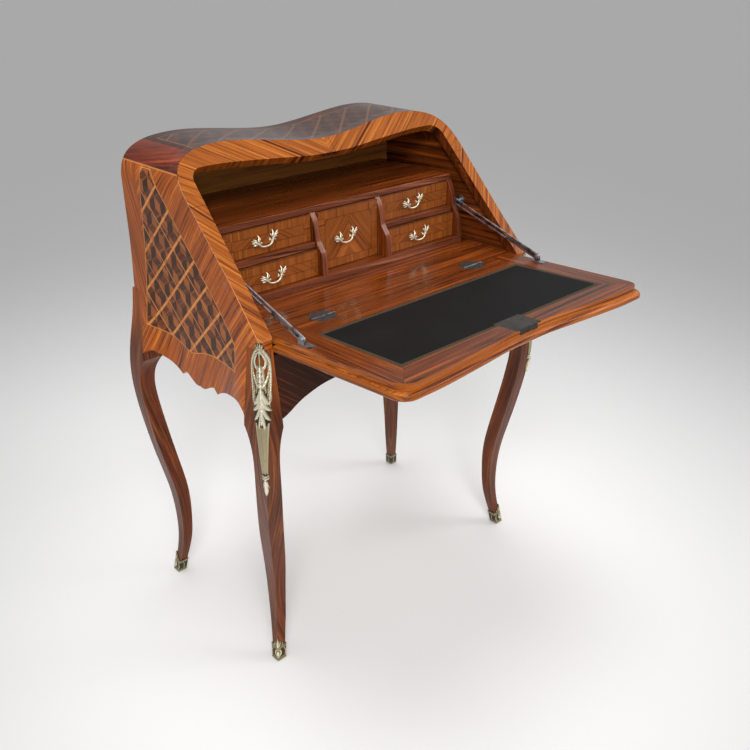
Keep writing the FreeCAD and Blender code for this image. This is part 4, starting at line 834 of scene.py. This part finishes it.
# ---------------------------------------------------------------- shapes
def soften(width, *names):
    """Round the arrises of CAD nodes a little."""
    for name in names:
        node = NODES[name]
        weld = node.modifiers.new("weld", "WELD")
        weld.merge_threshold = 0.00001
        bevel = node.modifiers.new("arris", "BEVEL")
        bevel.width = width
        bevel.segments = 2
        bevel.limit_method = "ANGLE"
        bevel.angle_limit = math.radians(38)
        bevel.harden_normals = True


# Sides, flatness and steps between points of a pull's stems, and the way they lie.
STEM_SIDES, STEM_FLAT, STEM_STEPS = 8, 0.7, 6
STEM_UP = Vector((0.12, -1.0, 0.1))
STEM_FINEST = 0.15


def rods(work, rows, place):
    """Tapering stems and leaves, each a row of (across, up, out, radius)."""
    for row in rows:
        path = smooth_path(row, STEM_STEPS)
        tube(work, [place(*point[:3]) for point in path], [max(point[3], STEM_FINEST) * MM for point in path],
             STEM_SIDES, STEM_FLAT, STEM_UP)


def surface_of(*names):
    """Something to drop points onto CAD nodes with."""
    work = bmesh.new()
    for name in names:
        work.from_mesh(NODES[name].data)
    tree = BVHTree.FromBMesh(work)
    work.free()
    return tree


PULL_ROWS = (
    # the bow, from the tip of its left leaf to the tip of its right one
    ((-30, 8.5, 9.5, 0.5), (-25, 6.0, 11, 1.5), (-20, 3.2, 12, 1.8), (-15, -0.5, 12, 2.0), (-10, -4.5, 12, 1.7),
     (-3, -6.2, 12, 1.5), (4, -6.0, 12, 1.6), (10, -4.4, 12, 1.9), (14, -0.5, 12, 2.2), (16, 4.5, 12, 2.1),
     (19, 9.0, 11.5, 1.9), (24, 12.0, 11, 1.6), (30, 13.5, 9.5, 0.5)),
    # lobes of the left leaf
    ((-19, 3.5, 11, 1.2), (-24, 3.0, 10.5, 2.0), (-29.5, 3.8, 9, 0.4)),
    ((-17, 1.5, 11, 1.2), (-21, -0.5, 10.5, 1.9), (-26.5, -1.2, 9, 0.4)),
    ((-18, 4.0, 11, 1.0), (-22, 7.8, 10.5, 1.9), (-26.5, 11.2, 9, 0.4)),
    # upright leaf over the left post
    ((-15, 0.0, 11, 1.8), (-16.2, 6.0, 12, 2.4), (-14.5, 12.0, 11, 1.9), (-16.5, 17.0, 9, 0.4)),
    ((-15, 4.0, 11, 1.4), (-12.2, 8.4, 10.5, 1.4), (-9.8, 10.4, 9.5, 0.4)),
    # inner curls
    ((-13, 0.5, 11.5, 1.0), (-9.4, 2.6, 11, 1.3), (-8.2, 0.2, 10.5, 0.9), (-9.6, -1.2, 10, 0.4)),
    ((13, 1.0, 11.5, 1.0), (9.8, 4.6, 11, 1.3), (8.2, 2.6, 10.5, 0.9), (9.4, 0.8, 10, 0.4)),
    # lobes of the right leaf
    ((18, 8.0, 11, 1.2), (23, 8.2, 10.5, 1.9), (28, 7.4, 9, 0.4)),
    ((20, 11.0, 11, 1.2), (25, 15.5, 10.5, 1.9), (28.5, 18.6, 9, 0.4)),
    ((17, 5.0, 11, 1.2), (21, 3.4, 10.5, 1.7), (24.5, 1.6, 9, 0.4)),
    # upright leaf over the right post
    ((16, 5.0, 11, 1.8), (15.2, 11.0, 12, 2.3), (17.2, 16.6, 11, 1.9), (15.2, 22.4, 9, 0.4)),
    ((16, 9.0, 11, 1.4), (12.6, 12.6, 10.5, 1.4), (10.6, 15.4, 9.5, 0.4)),
    # posts
    ((-15, 0, 0, 3.0), (-15, 0, 1.2, 2.8), (-15, 0, 2.4, 1.6), (-15, 0, 11, 1.7)),
    ((15.5, 2.5, 0, 3.0), (15.5, 2.5, 1.2, 2.8), (15.5, 2.5, 2.4, 1.6), (15.5, 2.5, 11, 1.7)),
)


class DESK_OT_pulls(bpy.types.Operator):
    """Five gilt pulls: a bow between two sprays of leaves"""
    bl_idname = "desk.pulls"
    bl_label = "Drawer pulls"

    def execute(self, context):
        gilt = bpy.data.materials["gilt"]
        for drawer in DRAWERS:
            low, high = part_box(drawer + "_pull")
            root = Vector(((low.x + high.x) / 2, high.y, low.z + sizes().pull_root))

            def place(across, up, out):
                return root + Vector((across, -out * 0.8, up)) * MM
            add_mesh(drawer + "_rococo_pull", lambda work: rods(work, PULL_ROWS, place), drawer, gilt,
                     replaces=(drawer + "_pull",))
        return {"FINISHED"}


# Outline of the corner mount: height over the floor and half its width.
MOUNT_OUTLINE = ((420, 1.2), (427, 3.6), (436, 5.6), (444, 4.2), (452, 3.8), (456, 6.6), (464, 6.6), (468, 5.6),
                 (500, 7.6), (540, 10.4), (562, 12.4), (566, 15.2), (572, 14.0), (578, 13.2), (584, 17.2), (590, 16.0),
                 (596, 15.0), (604, 17.8), (612, 16.6), (622, 17.4), (636, 18.2), (650, 17.8), (662, 15.6), (670, 11.6),
                 (676, 7.4), (681, 6.4), (684, 3.0))
# Openings pierced through it: height, across, half height, half width.
MOUNT_HOLES = ((658, 5.2, 8.0, 3.0), (658, -5.2, 8.0, 3.0), (640, 9.4, 8.0, 3.2), (640, -9.4, 8.0, 3.2),
               (622, 11.0, 6.0, 2.6), (622, -11.0, 6.0, 2.6), (643, 0.0, 3.0, 1.8))
# Stems, leaves and husks that stand up from it, each a row of (height, across, thickness).
MOUNT_RIDGES = (
    ((604, 15.0, 1.8), (620, 15.8, 2.2), (640, 16.4, 2.2), (656, 14.6, 2.2), (668, 9.0, 2.2), (674, 4.0, 1.8)),
    ((672, 1.0, 1.6), (666, 6.0, 2.2), (656, 9.6, 2.4), (648, 6.8, 2.2), (651, 3.0, 1.6)),
    ((650, 12.6, 1.4), (640, 13.2, 1.8), (630, 9.6, 2.2), (624, 5.0, 2.2), (628, 2.2, 1.4)),
    ((646, 5.0, 1.6), (638, 5.4, 2.0), (631, 5.6, 1.8), (622, 7.2, 1.6), (614, 8.2, 1.4)),
    ((616, 1.0, 2.4), (606, 6.0, 3.0), (598, 11.0, 2.6), (603, 16.6, 1.2)),
    ((608, 1.0, 2.4), (597, 5.0, 3.0), (588, 11.0, 2.6), (583.5, 16.4, 1.0)),
    ((600, 1.0, 2.4), (586, 4.4, 2.8), (574, 9.0, 2.6), (567, 14.2, 1.0)),
    ((590, 0.5, 2.4), (576, 2.0, 2.6), (562, 4.4, 2.2), (552, 5.4, 1.0)),
    ((616, 12.4, 1.6), (606, 14.0, 1.8), (596, 13.0, 1.4), (590, 14.4, 0.8)),
    ((562, 11.0, 1.7), (540, 9.2, 1.6), (500, 6.6, 1.4), (468, 4.8, 1.3)),
    ((604, 12.4, 0.9), (620, 13.0, 1.0), (640, 13.4, 1.0), (656, 11.6, 1.0), (668, 6.4, 0.9)),
    ((602, 10.2, 0.8), (612, 10.8, 0.9), (626, 12.0, 0.9)),
    ((600, 17.4, 1.5), (604, 18.2, 1.0)), ((624, 17.6, 1.6), (628, 18.2, 0.8)), ((648, 17.4, 1.6), (652, 17.8, 0.8)),
    ((612, 3.6, 1.3), (606, 5.2, 0.7)), ((624, 3.8, 1.4), (618, 6.2, 0.7)), ((634, 3.2, 1.3), (629, 4.8, 0.7)),
    ((558, 3.6, 1.1), (540, 3.0, 1.1), (500, 2.2, 1.0), (468, 1.6, 0.9)),
    ((458, 0.0, 2.4), (458, 6.0, 2.0)), ((463, 0.0, 2.2), (463, 5.8, 1.8)),
    ((454, 0.0, 2.2), (447, 2.6, 2.2), (440, 4.6, 1.6), (434, 5.4, 0.8)),
    ((452, 0.0, 3.2), (440, 0.0, 3.4), (430, 1.2, 2.6), (421, 0.0, 1.2)),
    ((671, 0.0, 1.6), (678, 1.6, 1.8), (683, 2.2, 1.0)), ((671, 0.0, 1.6), (676, 4.2, 1.8), (680, 5.8, 1.0)),
    ((671, 0.0, 1.6), (672, 6.0, 1.6), (673.5, 8.6, 1.0)))
MOUNT_MIDDLE = (((672, 0.0, 1.8), (660, 0.4, 1.6), (650, 0.0, 1.6)),) + tuple(
    ((650 - 7.2 * step, 0.0, 2.2), (646.5 - 7.2 * step, 0.0, 3.4 - 0.1 * step), (643.4 - 7.2 * step, 0.0, 1.4))
    for step in range(12)) + tuple(
    ((649 - 7.2 * step, 0.8, 1.4), (644.6 - 7.2 * step, 3.2, 1.9), (641.6 - 7.2 * step, 4.2, 0.8)) for step in range(5))


# The cartouche is drawn up to the outline's end and stretched to stand this tall.
CARTOUCHE_FOOT = 600
CARTOUCHE_TOP = 706
CARTOUCHE_SHARE = (MOUNT_OUTLINE[-1][0] - CARTOUCHE_FOOT) / (CARTOUCHE_TOP - CARTOUCHE_FOOT)
MOUNT_ROWS, MOUNT_COLUMNS = 260, 44
# How deep a mount's back lies in the wood, and the rise at which the gilding is
# burnished, on a mount and on a shoe.
BACK_DEPTH = 1.8
RELIEF_FULL = 4.0
SHOE_FULL = 1.8
# The sheet a mount's stems stand on, its openings and edges, which sink into the
# wood, the fluted drop, and where the chasing begins.
SHEET, OPENING, EDGE = 0.3, -1.0, -0.9
FLUTED, FLUTED_RISE = (470, 560), 1.5
CHASED_FROM, CHASED_RISE = 563, 0.6
NOWHERE = -9.0


def standing(rise, share, foot):
    """How high stems stand over the sheet, where there are any."""
    return np.where(rise > -5, rise * share + foot, NOWHERE)


def half_at(outline, level):
    for (low, first), (high, second) in zip(outline, outline[1:]):
        if level <= high:
            return first + (second - first) * (level - low) / (high - low)
    return outline[-1][1]


def ridge_height(rows, mirrored, level, across):
    """How far stems stand up at places on a sheet; both are arrays, in mm."""
    best = np.full(level.shape, NOWHERE)
    for row in rows:
        path = np.array(smooth_path(row, 5))
        for sign in ((1, -1) if mirrored else (1,)):
            for (z1, s1, r1), (z2, s2, r2) in zip(path, path[1:]):
                dz, ds = z2 - z1, (s2 - s1) * sign
                share = ((level - z1) * dz + (across - s1 * sign) * ds) / max(dz * dz + ds * ds, 1e-9)
                share = np.clip(share, 0, 1)
                away = np.hypot(level - z1 - share * dz, across - s1 * sign - share * ds)
                radius = r1 + (r2 - r1) * share
                rise = np.sqrt(np.clip(1 - (away / radius) ** 2, 0, None)) * radius
                best = np.maximum(best, np.where(away < radius, rise, NOWHERE))
    return best


def drawn_level(level):
    """Height in the mount's drawing for a height over the floor: its cartouche
    stands taller than it is drawn."""
    return np.where(level > CARTOUCHE_FOOT, CARTOUCHE_FOOT + (level - CARTOUCHE_FOOT) * CARTOUCHE_SHARE, level)


def mount_relief(level, across):
    """How far the mount's face stands off the wood, at places in its drawing."""
    rise = np.maximum(ridge_height(MOUNT_RIDGES, True, level, across),
                      ridge_height(MOUNT_MIDDLE[:13], False, level, across))
    rise = np.maximum(rise, ridge_height(MOUNT_MIDDLE[13:], True, level, across))
    sheet = np.full(level.shape, SHEET)
    for up, side, tall, wide in MOUNT_HOLES:
        inside = ((level - up) / tall) ** 2 + ((across - side) / wide) ** 2 < 1
        sheet = np.where(inside, OPENING, sheet)
    sheet = np.where((level > FLUTED[0]) & (level < FLUTED[1]), FLUTED_RISE, sheet)
    shape = np.maximum(sheet, standing(rise, 1.6, 0.2))
    chasing = np.sin(level * 1.25 + across * 0.9) * np.sin(across * 1.9 - level * 0.5)
    return shape + np.where((shape > CHASED_RISE) & (level > CHASED_FROM), chasing * 0.9, 0)


def drop(work, tree, start, outward, lift, full):
    """A point dropped onto the wood and raised by lift, in mm; how far it rises,
    as a share of full, is kept for the gilding."""
    hit = tree.ray_cast(start, -outward)[0]
    if hit is None:
        raise RuntimeError("a mount's point misses the wood")
    vertex = work.verts.new(hit + outward * (lift * MM))
    vertex[work.verts.layers.float["rise"]] = min(max(lift / full, 0), 1)
    return vertex, hit


def cast_mount(work, tree, middle, outward, lateral, foot):
    """A cast sheet lying on the wood from a height in mm up, closed by a back and rims."""
    levels = np.linspace(foot, CARTOUCHE_TOP, MOUNT_ROWS)
    drawn = drawn_level(levels)
    halves = np.array([half_at(MOUNT_OUTLINE, level) for level in drawn])
    across = halves[:, None] * np.linspace(-1, 1, MOUNT_COLUMNS)[None, :]
    lift = mount_relief(np.repeat(drawn[:, None], MOUNT_COLUMNS, 1), across)
    lift[:, 0] = lift[:, -1] = EDGE
    lift[0, :] = lift[-1, :] = EDGE
    work.verts.layers.float.new("rise")
    grid, back = [], []
    for row in range(MOUNT_ROWS):
        made, behind = [], []
        for column in range(MOUNT_COLUMNS):
            start = Vector((middle.x, middle.y, levels[row] * MM)) + lateral * (across[row, column] * MM)
            vertex, hit = drop(work, tree, start + outward * 0.2, outward, lift[row, column], RELIEF_FULL)
            made.append(vertex)
            behind.append(work.verts.new(hit - outward * BACK_DEPTH * MM))
        grid.append(made)
        back.append(behind)
    for sheet in (grid, back):
        for first, second in zip(sheet, sheet[1:]):
            bridge(work, first, second)
    bridge(work, grid[0], back[0])
    bridge(work, grid[-1], back[-1])
    for end in (0, -1):
        bridge(work, [row[end] for row in grid], [row[end] for row in back])


class DESK_OT_corner_mounts(bpy.types.Operator):
    """Two gilt mounts on the knees: a pierced cartouche, husks, leaves and a fluted drop"""
    bl_idname = "desk.corner_mounts"
    bl_label = "Corner mounts"

    def execute(self, context):
        gilt = bpy.data.materials["cast_gilt"]
        for side, sign in (("left", -1), ("right", 1)):
            tree = surface_of("front_" + side + "_leg", side + "_stile", side + "_side")
            low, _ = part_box(side + "_corner_mount")
            middle = Vector((sign * sizes().corner_across, sizes().corner_along, 0.0))
            outward = Vector((sign, -1, 0)).normalized()
            lateral = Vector((1, sign, 0)).normalized()
            add_mesh(side + "_cast_mount", lambda work: cast_mount(work, tree, middle, outward, lateral, low.z / MM),
                     "carcass", gilt, replaces=(side + "_corner_mount",))
        return {"FINISHED"}


# Stems and leaves of a shoe, mirrored about its outer corner: height, angle from
# that corner, thickness.
SHOE_RIDGES = (
    ((2.0, -180, 1.6), (2.0, 0, 1.6), (2.0, 180, 1.6)), ((6.5, -180, 1.0), (6.5, 0, 1.0), (6.5, 180, 1.0)),
    ((27.0, -180, 1.3), (27.0, 0, 1.3), (27.0, 180, 1.3)), ((30.5, -180, 0.9), (30.5, 0, 0.9), (30.5, 180, 0.9)),
    ((9.0, 0, 1.6), (15, 22, 2.0), (22, 18, 1.8), (24, 2, 1.4)), ((14, 0, 2.2), (18, 0, 2.6), (21, 0, 1.6)),
    ((31, 0, 2.0), (41, 0, 2.2), (50, 0, 1.0)), ((31, 8, 1.6), (38, 22, 1.8), (45, 24, 0.8)),
    ((31, 40, 1.4), (35, 52, 1.4), (38.5, 56, 0.7)), ((9, 60, 1.4), (16, 70, 1.6), (24, 62, 1.2)),
    ((9, 120, 1.4), (16, 130, 1.6), (24, 122, 1.2)))
# The shoe's upper edge: its height, and leaves that rise from it, each at an angle
# from the leg's outer corner, with its width in degrees and its height.
SHOE_CUFF = 31.5
SHOE_LEAVES = ((0, 17, 20.0), (24, 9, 9), (54, 12, 6))
SHOE_ROUND = 16
SHOE_ROWS, SHOE_COLUMNS = 64, 96
SHOE_CLEAR, SHOE_EDGE = 0.3, -0.8


def cast_shoe(work, tree, middle, top, corner):
    """A cast shoe round a foot, up to a height in mm: points dropped onto it from
    all round, closed below and above."""
    work.verts.layers.float.new("rise")
    turns = np.linspace(-180, 180, SHOE_COLUMNS, endpoint=False)
    round_it = np.radians(turns) * SHOE_ROUND
    ridges = [tuple((z, math.radians(turn) * SHOE_ROUND, thick) for z, turn, thick in ridge) for ridge in SHOE_RIDGES]
    tops = np.full(SHOE_COLUMNS, SHOE_CUFF)
    for turn, wide, tall in SHOE_LEAVES:
        tops = tops + tall * np.exp(-((np.abs(turns) - turn) / wide) ** 2)
    grid = []
    for row in range(SHOE_ROWS + 1):
        level = np.minimum(tops * (row / SHOE_ROWS), top - SHOE_CLEAR)
        lift = np.maximum(0.25, standing(ridge_height(ridges, True, level, round_it), 0.8, 0.0))
        if row == SHOE_ROWS:
            lift = np.full(SHOE_COLUMNS, SHOE_EDGE)
        made = []
        for column in range(SHOE_COLUMNS):
            angle = corner + math.radians(turns[column])
            outward = Vector((math.cos(angle), math.sin(angle), 0))
            start = Vector((middle.x, middle.y, max(level[column] * MM, 0.0002))) + outward * 0.1
            made.append(drop(work, tree, start, outward, lift[column], SHOE_FULL)[0])
        grid.append(made)
    for first, second in zip(grid, grid[1:]):
        bridge(work, first, second, closed=True)
    work.faces.new(grid[0])
    heart = work.verts.new(sum((vertex.co for vertex in grid[-1]), Vector()) / SHOE_COLUMNS)
    for first, second in zip(grid[-1], grid[-1][1:] + grid[-1][:1]):
        work.faces.new((first, second, heart))


class DESK_OT_shoes(bpy.types.Operator):
    """Four gilt shoes, each with a leaf up the leg's outer corner"""
    bl_idname = "desk.shoes"
    bl_label = "Shoes"

    def execute(self, context):
        gilt = bpy.data.materials["cast_gilt"]
        for end, front in (("front", -1), ("back", 1)):
            for side, sign in (("left", -1), ("right", 1)):
                name = end + "_" + side
                low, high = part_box(name + "_sabot")
                middle = (low + high) / 2
                tree = surface_of(name + "_sabot", name + "_leg")
                corner = math.atan2(front, sign)
                add_mesh(name + "_cast_shoe", lambda work: cast_shoe(work, tree, middle, high.z / MM, corner),
                         "carcass", gilt, replaces=(name + "_sabot",))
        return {"FINISHED"}


# Steels: name, colour, stain, how fine the pits are, how dull from and to, how
# metallic, and the pieces that have it.
STEELS = (("lock_steel", "lock", "steel_deep", 70.0, (0.34, 0.55), 0.7, ("fall_lock", "strike_plate", "lock_bolt")),
          ("hinge_steel", "steel", "steel_deep", 160.0, (0.3, 0.5), 0.85,
           ("bed_hinge_leaves", "fall_hinge_leaves", "bed_hinge_screws", "fall_hinge_screws")),
          ("pin_steel", "steel_bright", "steel", 200.0, (0.2, 0.32), 0.95, ("hinge_pins",)),
          ("stay_steel", "stay", "steel_deep", 60.0, (0.26, 0.46), 0.85,
           ("left_stay", "right_stay", "stay_brackets", "stay_studs")))


class DESK_OT_metals(bpy.types.Operator):
    """Gilt, steel and iron for the mounts, the lock, the hinges and the stays"""
    bl_idname = "desk.metals"
    bl_label = "Metals"

    def execute(self, context):
        palette = metals()
        gilt_finish("cast_gilt", True)
        dress(gilt_finish("gilt", False), "fall_escutcheon", "frieze_escutcheon")
        for name, tone, stain, pits, dull, metallic, pieces in STEELS:
            dress(metal_finish(name, getattr(palette, tone), getattr(palette, stain), pits, dull, metallic), *pieces)
        soften(0.0006, "left_stay", "right_stay", "fall_lock", "strike_plate", "lock_bolt")
        return {"FINISHED"}


class DESK_OT_carcass(bpy.types.Operator):
    """Veneers of the sides, the top, the sloping frame and the back"""
    bl_idname = "desk.carcass"
    bl_label = "Carcass veneers"

    def execute(self, context):
        dress(side_finish(), "left_side", "right_side")
        dress(top_finish(), "top_board")
        dress(frame_finish(), "left_stile", "right_stile", "top_rail")
        dress(plain_wood("back_wood", "xz", 0, streaks("back"), 45, 2.0, (0.4, 0.6), 0.0), "back_panel", "back_apron")
        dress(plain_wood("oak", "xy", 90, streaks("oak"), 90, 3.0, (0.45, 0.65), 0.0), "drawer_runners")
        dress(plain_wood("rail_wood", "xz", 0, streaks("inside"), 90, 2.0), "front_rail")
        soften(0.0008, "left_stile", "right_stile", "front_rail", "back_apron")
        return {"FINISHED"}


class DESK_OT_legs(bpy.types.Operator):
    """Figured wood of the four legs"""
    bl_idname = "desk.legs"
    bl_label = "Legs"

    def execute(self, context):
        dress(leg_finish(), *[end + "_" + side + "_leg" for end in ("front", "back") for side in ("left", "right")])
        return {"FINISHED"}


class DESK_OT_interior(bpy.types.Operator):
    """The bed and the drawer case"""
    bl_idname = "desk.interior"
    bl_label = "Bed and case"

    def execute(self, context):
        dress(plain_wood("bed_wood", "xy", 0, streaks("inside"), 85, 5.0, (0.14, 0.3), 0.6), "writing_bed")
        dress(case_finish(), "case_base", "case_lid", "case_shelves")
        dress(partition_finish(), "outer_partitions", "inner_partitions")
        soften(0.0012, "case_base", "case_lid", "case_shelves")
        return {"FINISHED"}


class DESK_OT_drawers(bpy.types.Operator):
    """Crossbanded fronts and oak boxes of the six drawers"""
    bl_idname = "desk.drawers"
    bl_label = "Drawers"

    def execute(self, context):
        palette = woods()
        oak = plain_wood("lining_oak", "xy", 90, streaks("oak"), 110, 6.0, (0.4, 0.6), 0.1)
        for drawer in DRAWERS:
            tilt = 52 if drawer == "middle_drawer" else 32
            dress(front_finish(drawer + "_front", tilt), drawer + "_front")
            dress(oak, drawer + "_box")
        # The frieze's front takes the legs' dark tones: partly its own dark wood, partly painted shade from the open
        # fall above it.
        tones = (palette.leg_mid, palette.leg_dark, palette.leg_dark)
        dress(plain_wood("frieze_wood_shaded", "xz", 38, tones, 120, 7.0), "frieze_drawer_front")
        dress(oak, "frieze_drawer_box")
        soften(0.0009, *[drawer + "_front" for drawer in DRAWERS])
        soften(0.0006, *[drawer + "_box" for drawer in DRAWERS + ("frieze_drawer",)])
        return {"FINISHED"}


class DESK_OT_fall(bpy.types.Operator):
    """The fall, its moulded lip and its leather"""
    bl_idname = "desk.fall"
    bl_label = "Fall"

    def execute(self, context):
        dress(fall_finish(), "fall_panel")
        dress(lip_finish(), "lip_moulding")
        dress(leather_finish(), "writing_leather")
        return {"FINISHED"}


# How far out the lip's ends begin, and how far from the hinge they run.
LIP_ENDS = 0.3135
LIP_FAR = 0.285, 0.275


def lip_finish():
    """The lip: strong lengthwise figure, turned with the edge it follows."""
    recipe = Recipe("lip_wood")
    x, u, depth = recipe.parts(from_hinge(recipe, OPEN))
    across = recipe.distance(x)
    front, height = timber(recipe, recipe.vector(x, recipe.plus(u, depth), depth), 2, streaks("tulip"), 120, 2.0)
    end, _ = timber(recipe, recipe.vector(u, recipe.plus(across, depth), depth), 2, streaks("tulip"), 120, 5.0)
    ends = recipe.step(recipe.distance(recipe.parts(recipe.facing)[0]), 0.6, 0.75)
    outer = recipe.times(recipe.past(across, LIP_ENDS), recipe.step(u, *LIP_FAR))
    tone = recipe.blend(recipe.most(ends, outer), front, end)
    return polished(recipe, tone, height, 0.4, (0.18, 0.34), 0.45, 0.16)


# Name, place, what it is aimed at, radius, power and cone of each lamp.
LIGHTS = (("key", (-2.2, -2.7, 3.3), (0, 0, 0.4), 0.9, 430, 38),
          ("fill", (2.5, -2.0, 2.6), (0, 0, 0.4), 0.9, 150, 42),
          ("low", (-1.5, -2.4, 1.3), (0.1, 0.2, 0.1), 0.8, 110, 40),
          ("over", (0.1, 0.4, 4.0), (0, 0.1, 0.2), 1.4, 400, 46))
FLOOR_TONE = (0.92, 0.92, 0.92)
SKY_STRENGTH = 0.43
# The camera, solved from the photo: place, turn, tilt and roll in degrees, lens.
CAMERA_PLACE = (-1.0753, -1.1428, 1.2816)
CAMERA_TURNS = (-42.5, 26.3, -0.4)
CAMERA_LENS = 41.155
CAMERA_CLIP = (0.05, 120)


class DESK_OT_stage(bpy.types.Operator):
    """Floor, soft studio lights and the camera"""
    bl_idname = "desk.stage"
    bl_label = "Floor, lights and camera"

    def execute(self, context):
        scene = context.scene
        recipe = Recipe("floor")
        cloud = recipe.noise(recipe.place, 0.8, 2.0, 0.5)
        recipe.surface(FLOOR_TONE, recipe.slide(cloud, 0.6, 0.7))
        half = sizes().floor_size
        mesh = bpy.data.meshes.new("floor")
        work = bmesh.new()
        work.faces.new([work.verts.new((x * half, y * half, 0)) for x, y in ((-1, -1), (1, -1), (1, 1), (-1, 1))])
        work.to_mesh(mesh)
        work.free()
        mesh.materials.append(recipe.material)
        floor = bpy.data.objects.new("floor", mesh)
        scene.collection.objects.link(floor)

        world = bpy.data.worlds.new("studio")
        world.use_nodes = True
        sky = world.node_tree.nodes["Background"]
        sky.inputs[0].default_value = (1, 1, 1, 1)
        sky.inputs[1].default_value = SKY_STRENGTH
        scene.world = world
        for name, place, aim, radius, power, cone in LIGHTS:
            data = bpy.data.lights.new(name, "SPOT")
            data.shadow_soft_size = radius
            data.energy = power
            data.spot_size = math.radians(cone)
            data.spot_blend = 1.0
            light = bpy.data.objects.new(name, data)
            light.location = place
            light.rotation_euler = (Vector(aim) - Vector(place)).to_track_quat("-Z", "Y").to_euler()
            scene.collection.objects.link(light)

        data = bpy.data.cameras.new("camera")
        data.sensor_width = 36.0
        data.lens = CAMERA_LENS
        data.clip_start, data.clip_end = CAMERA_CLIP
        camera = bpy.data.objects.new("camera", data)
        turn, tilt, roll = [math.radians(angle) for angle in CAMERA_TURNS]
        ahead = Vector((-math.sin(turn) * math.cos(tilt), math.cos(turn) * math.cos(tilt), -math.sin(tilt)))
        right = ahead.cross(Vector((0, 0, 1))).normalized()
        up = right.cross(ahead)
        right, up = (right * math.cos(roll) + up * math.sin(roll), up * math.cos(roll) - right * math.sin(roll))
        camera.matrix_world = Matrix.Translation(CAMERA_PLACE) @ Matrix(
            (right, up, -ahead)).transposed().to_4x4()
        scene.collection.objects.link(camera)
        scene.camera = camera
        scene.view_settings.view_transform = "Standard"
        return {"FINISHED"}


STEPS = (DESK_OT_metals, DESK_OT_carcass, DESK_OT_legs, DESK_OT_interior, DESK_OT_drawers, DESK_OT_fall,
         DESK_OT_pulls, DESK_OT_corner_mounts, DESK_OT_shoes, DESK_OT_stage)


class DESK_PT_panel(bpy.types.Panel):
    """Colours and sizes of the desk's finishes, and the steps that make them"""
    bl_idname = "DESK_PT_panel"
    bl_label = "Writing desk"
    bl_space_type = "VIEW_3D"
    bl_region_type = "UI"
    bl_category = "Desk"

    def draw(self, context):
        for title, group in (("Woods", woods()), ("Metals and leather", metals()), ("Sizes", sizes())):
            box = self.layout.box()
            box.label(text=title)
            for key in group.bl_rna.properties.keys():
                if key not in {"rna_type", "name"}:
                    box.prop(group, key)
        for step in STEPS:
            self.layout.operator(step.bl_idname)


CLASSES = (DESK_PG_woods, DESK_PG_metals, DESK_PG_sizes) + STEPS + (DESK_PT_panel,)


def register():
    for item in CLASSES:
        bpy.utils.register_class(item)
    bpy.types.Scene.desk_woods = PointerProperty(type=DESK_PG_woods)
    bpy.types.Scene.desk_metals = PointerProperty(type=DESK_PG_metals)
    bpy.types.Scene.desk_sizes = PointerProperty(type=DESK_PG_sizes)


def unregister():
    del bpy.types.Scene.desk_sizes, bpy.types.Scene.desk_metals, bpy.types.Scene.desk_woods
    for item in reversed(CLASSES):
        bpy.utils.unregister_class(item)


def main():
    register()
    for step in (bpy.ops.desk.metals, bpy.ops.desk.carcass, bpy.ops.desk.legs, bpy.ops.desk.interior,
                 bpy.ops.desk.drawers, bpy.ops.desk.fall, bpy.ops.desk.pulls, bpy.ops.desk.corner_mounts,
                 bpy.ops.desk.shoes, bpy.ops.desk.stage):
        if step() != {"FINISHED"}:
            raise RuntimeError("a step of the desk did not finish")


if __name__ == "__main__":
    main()
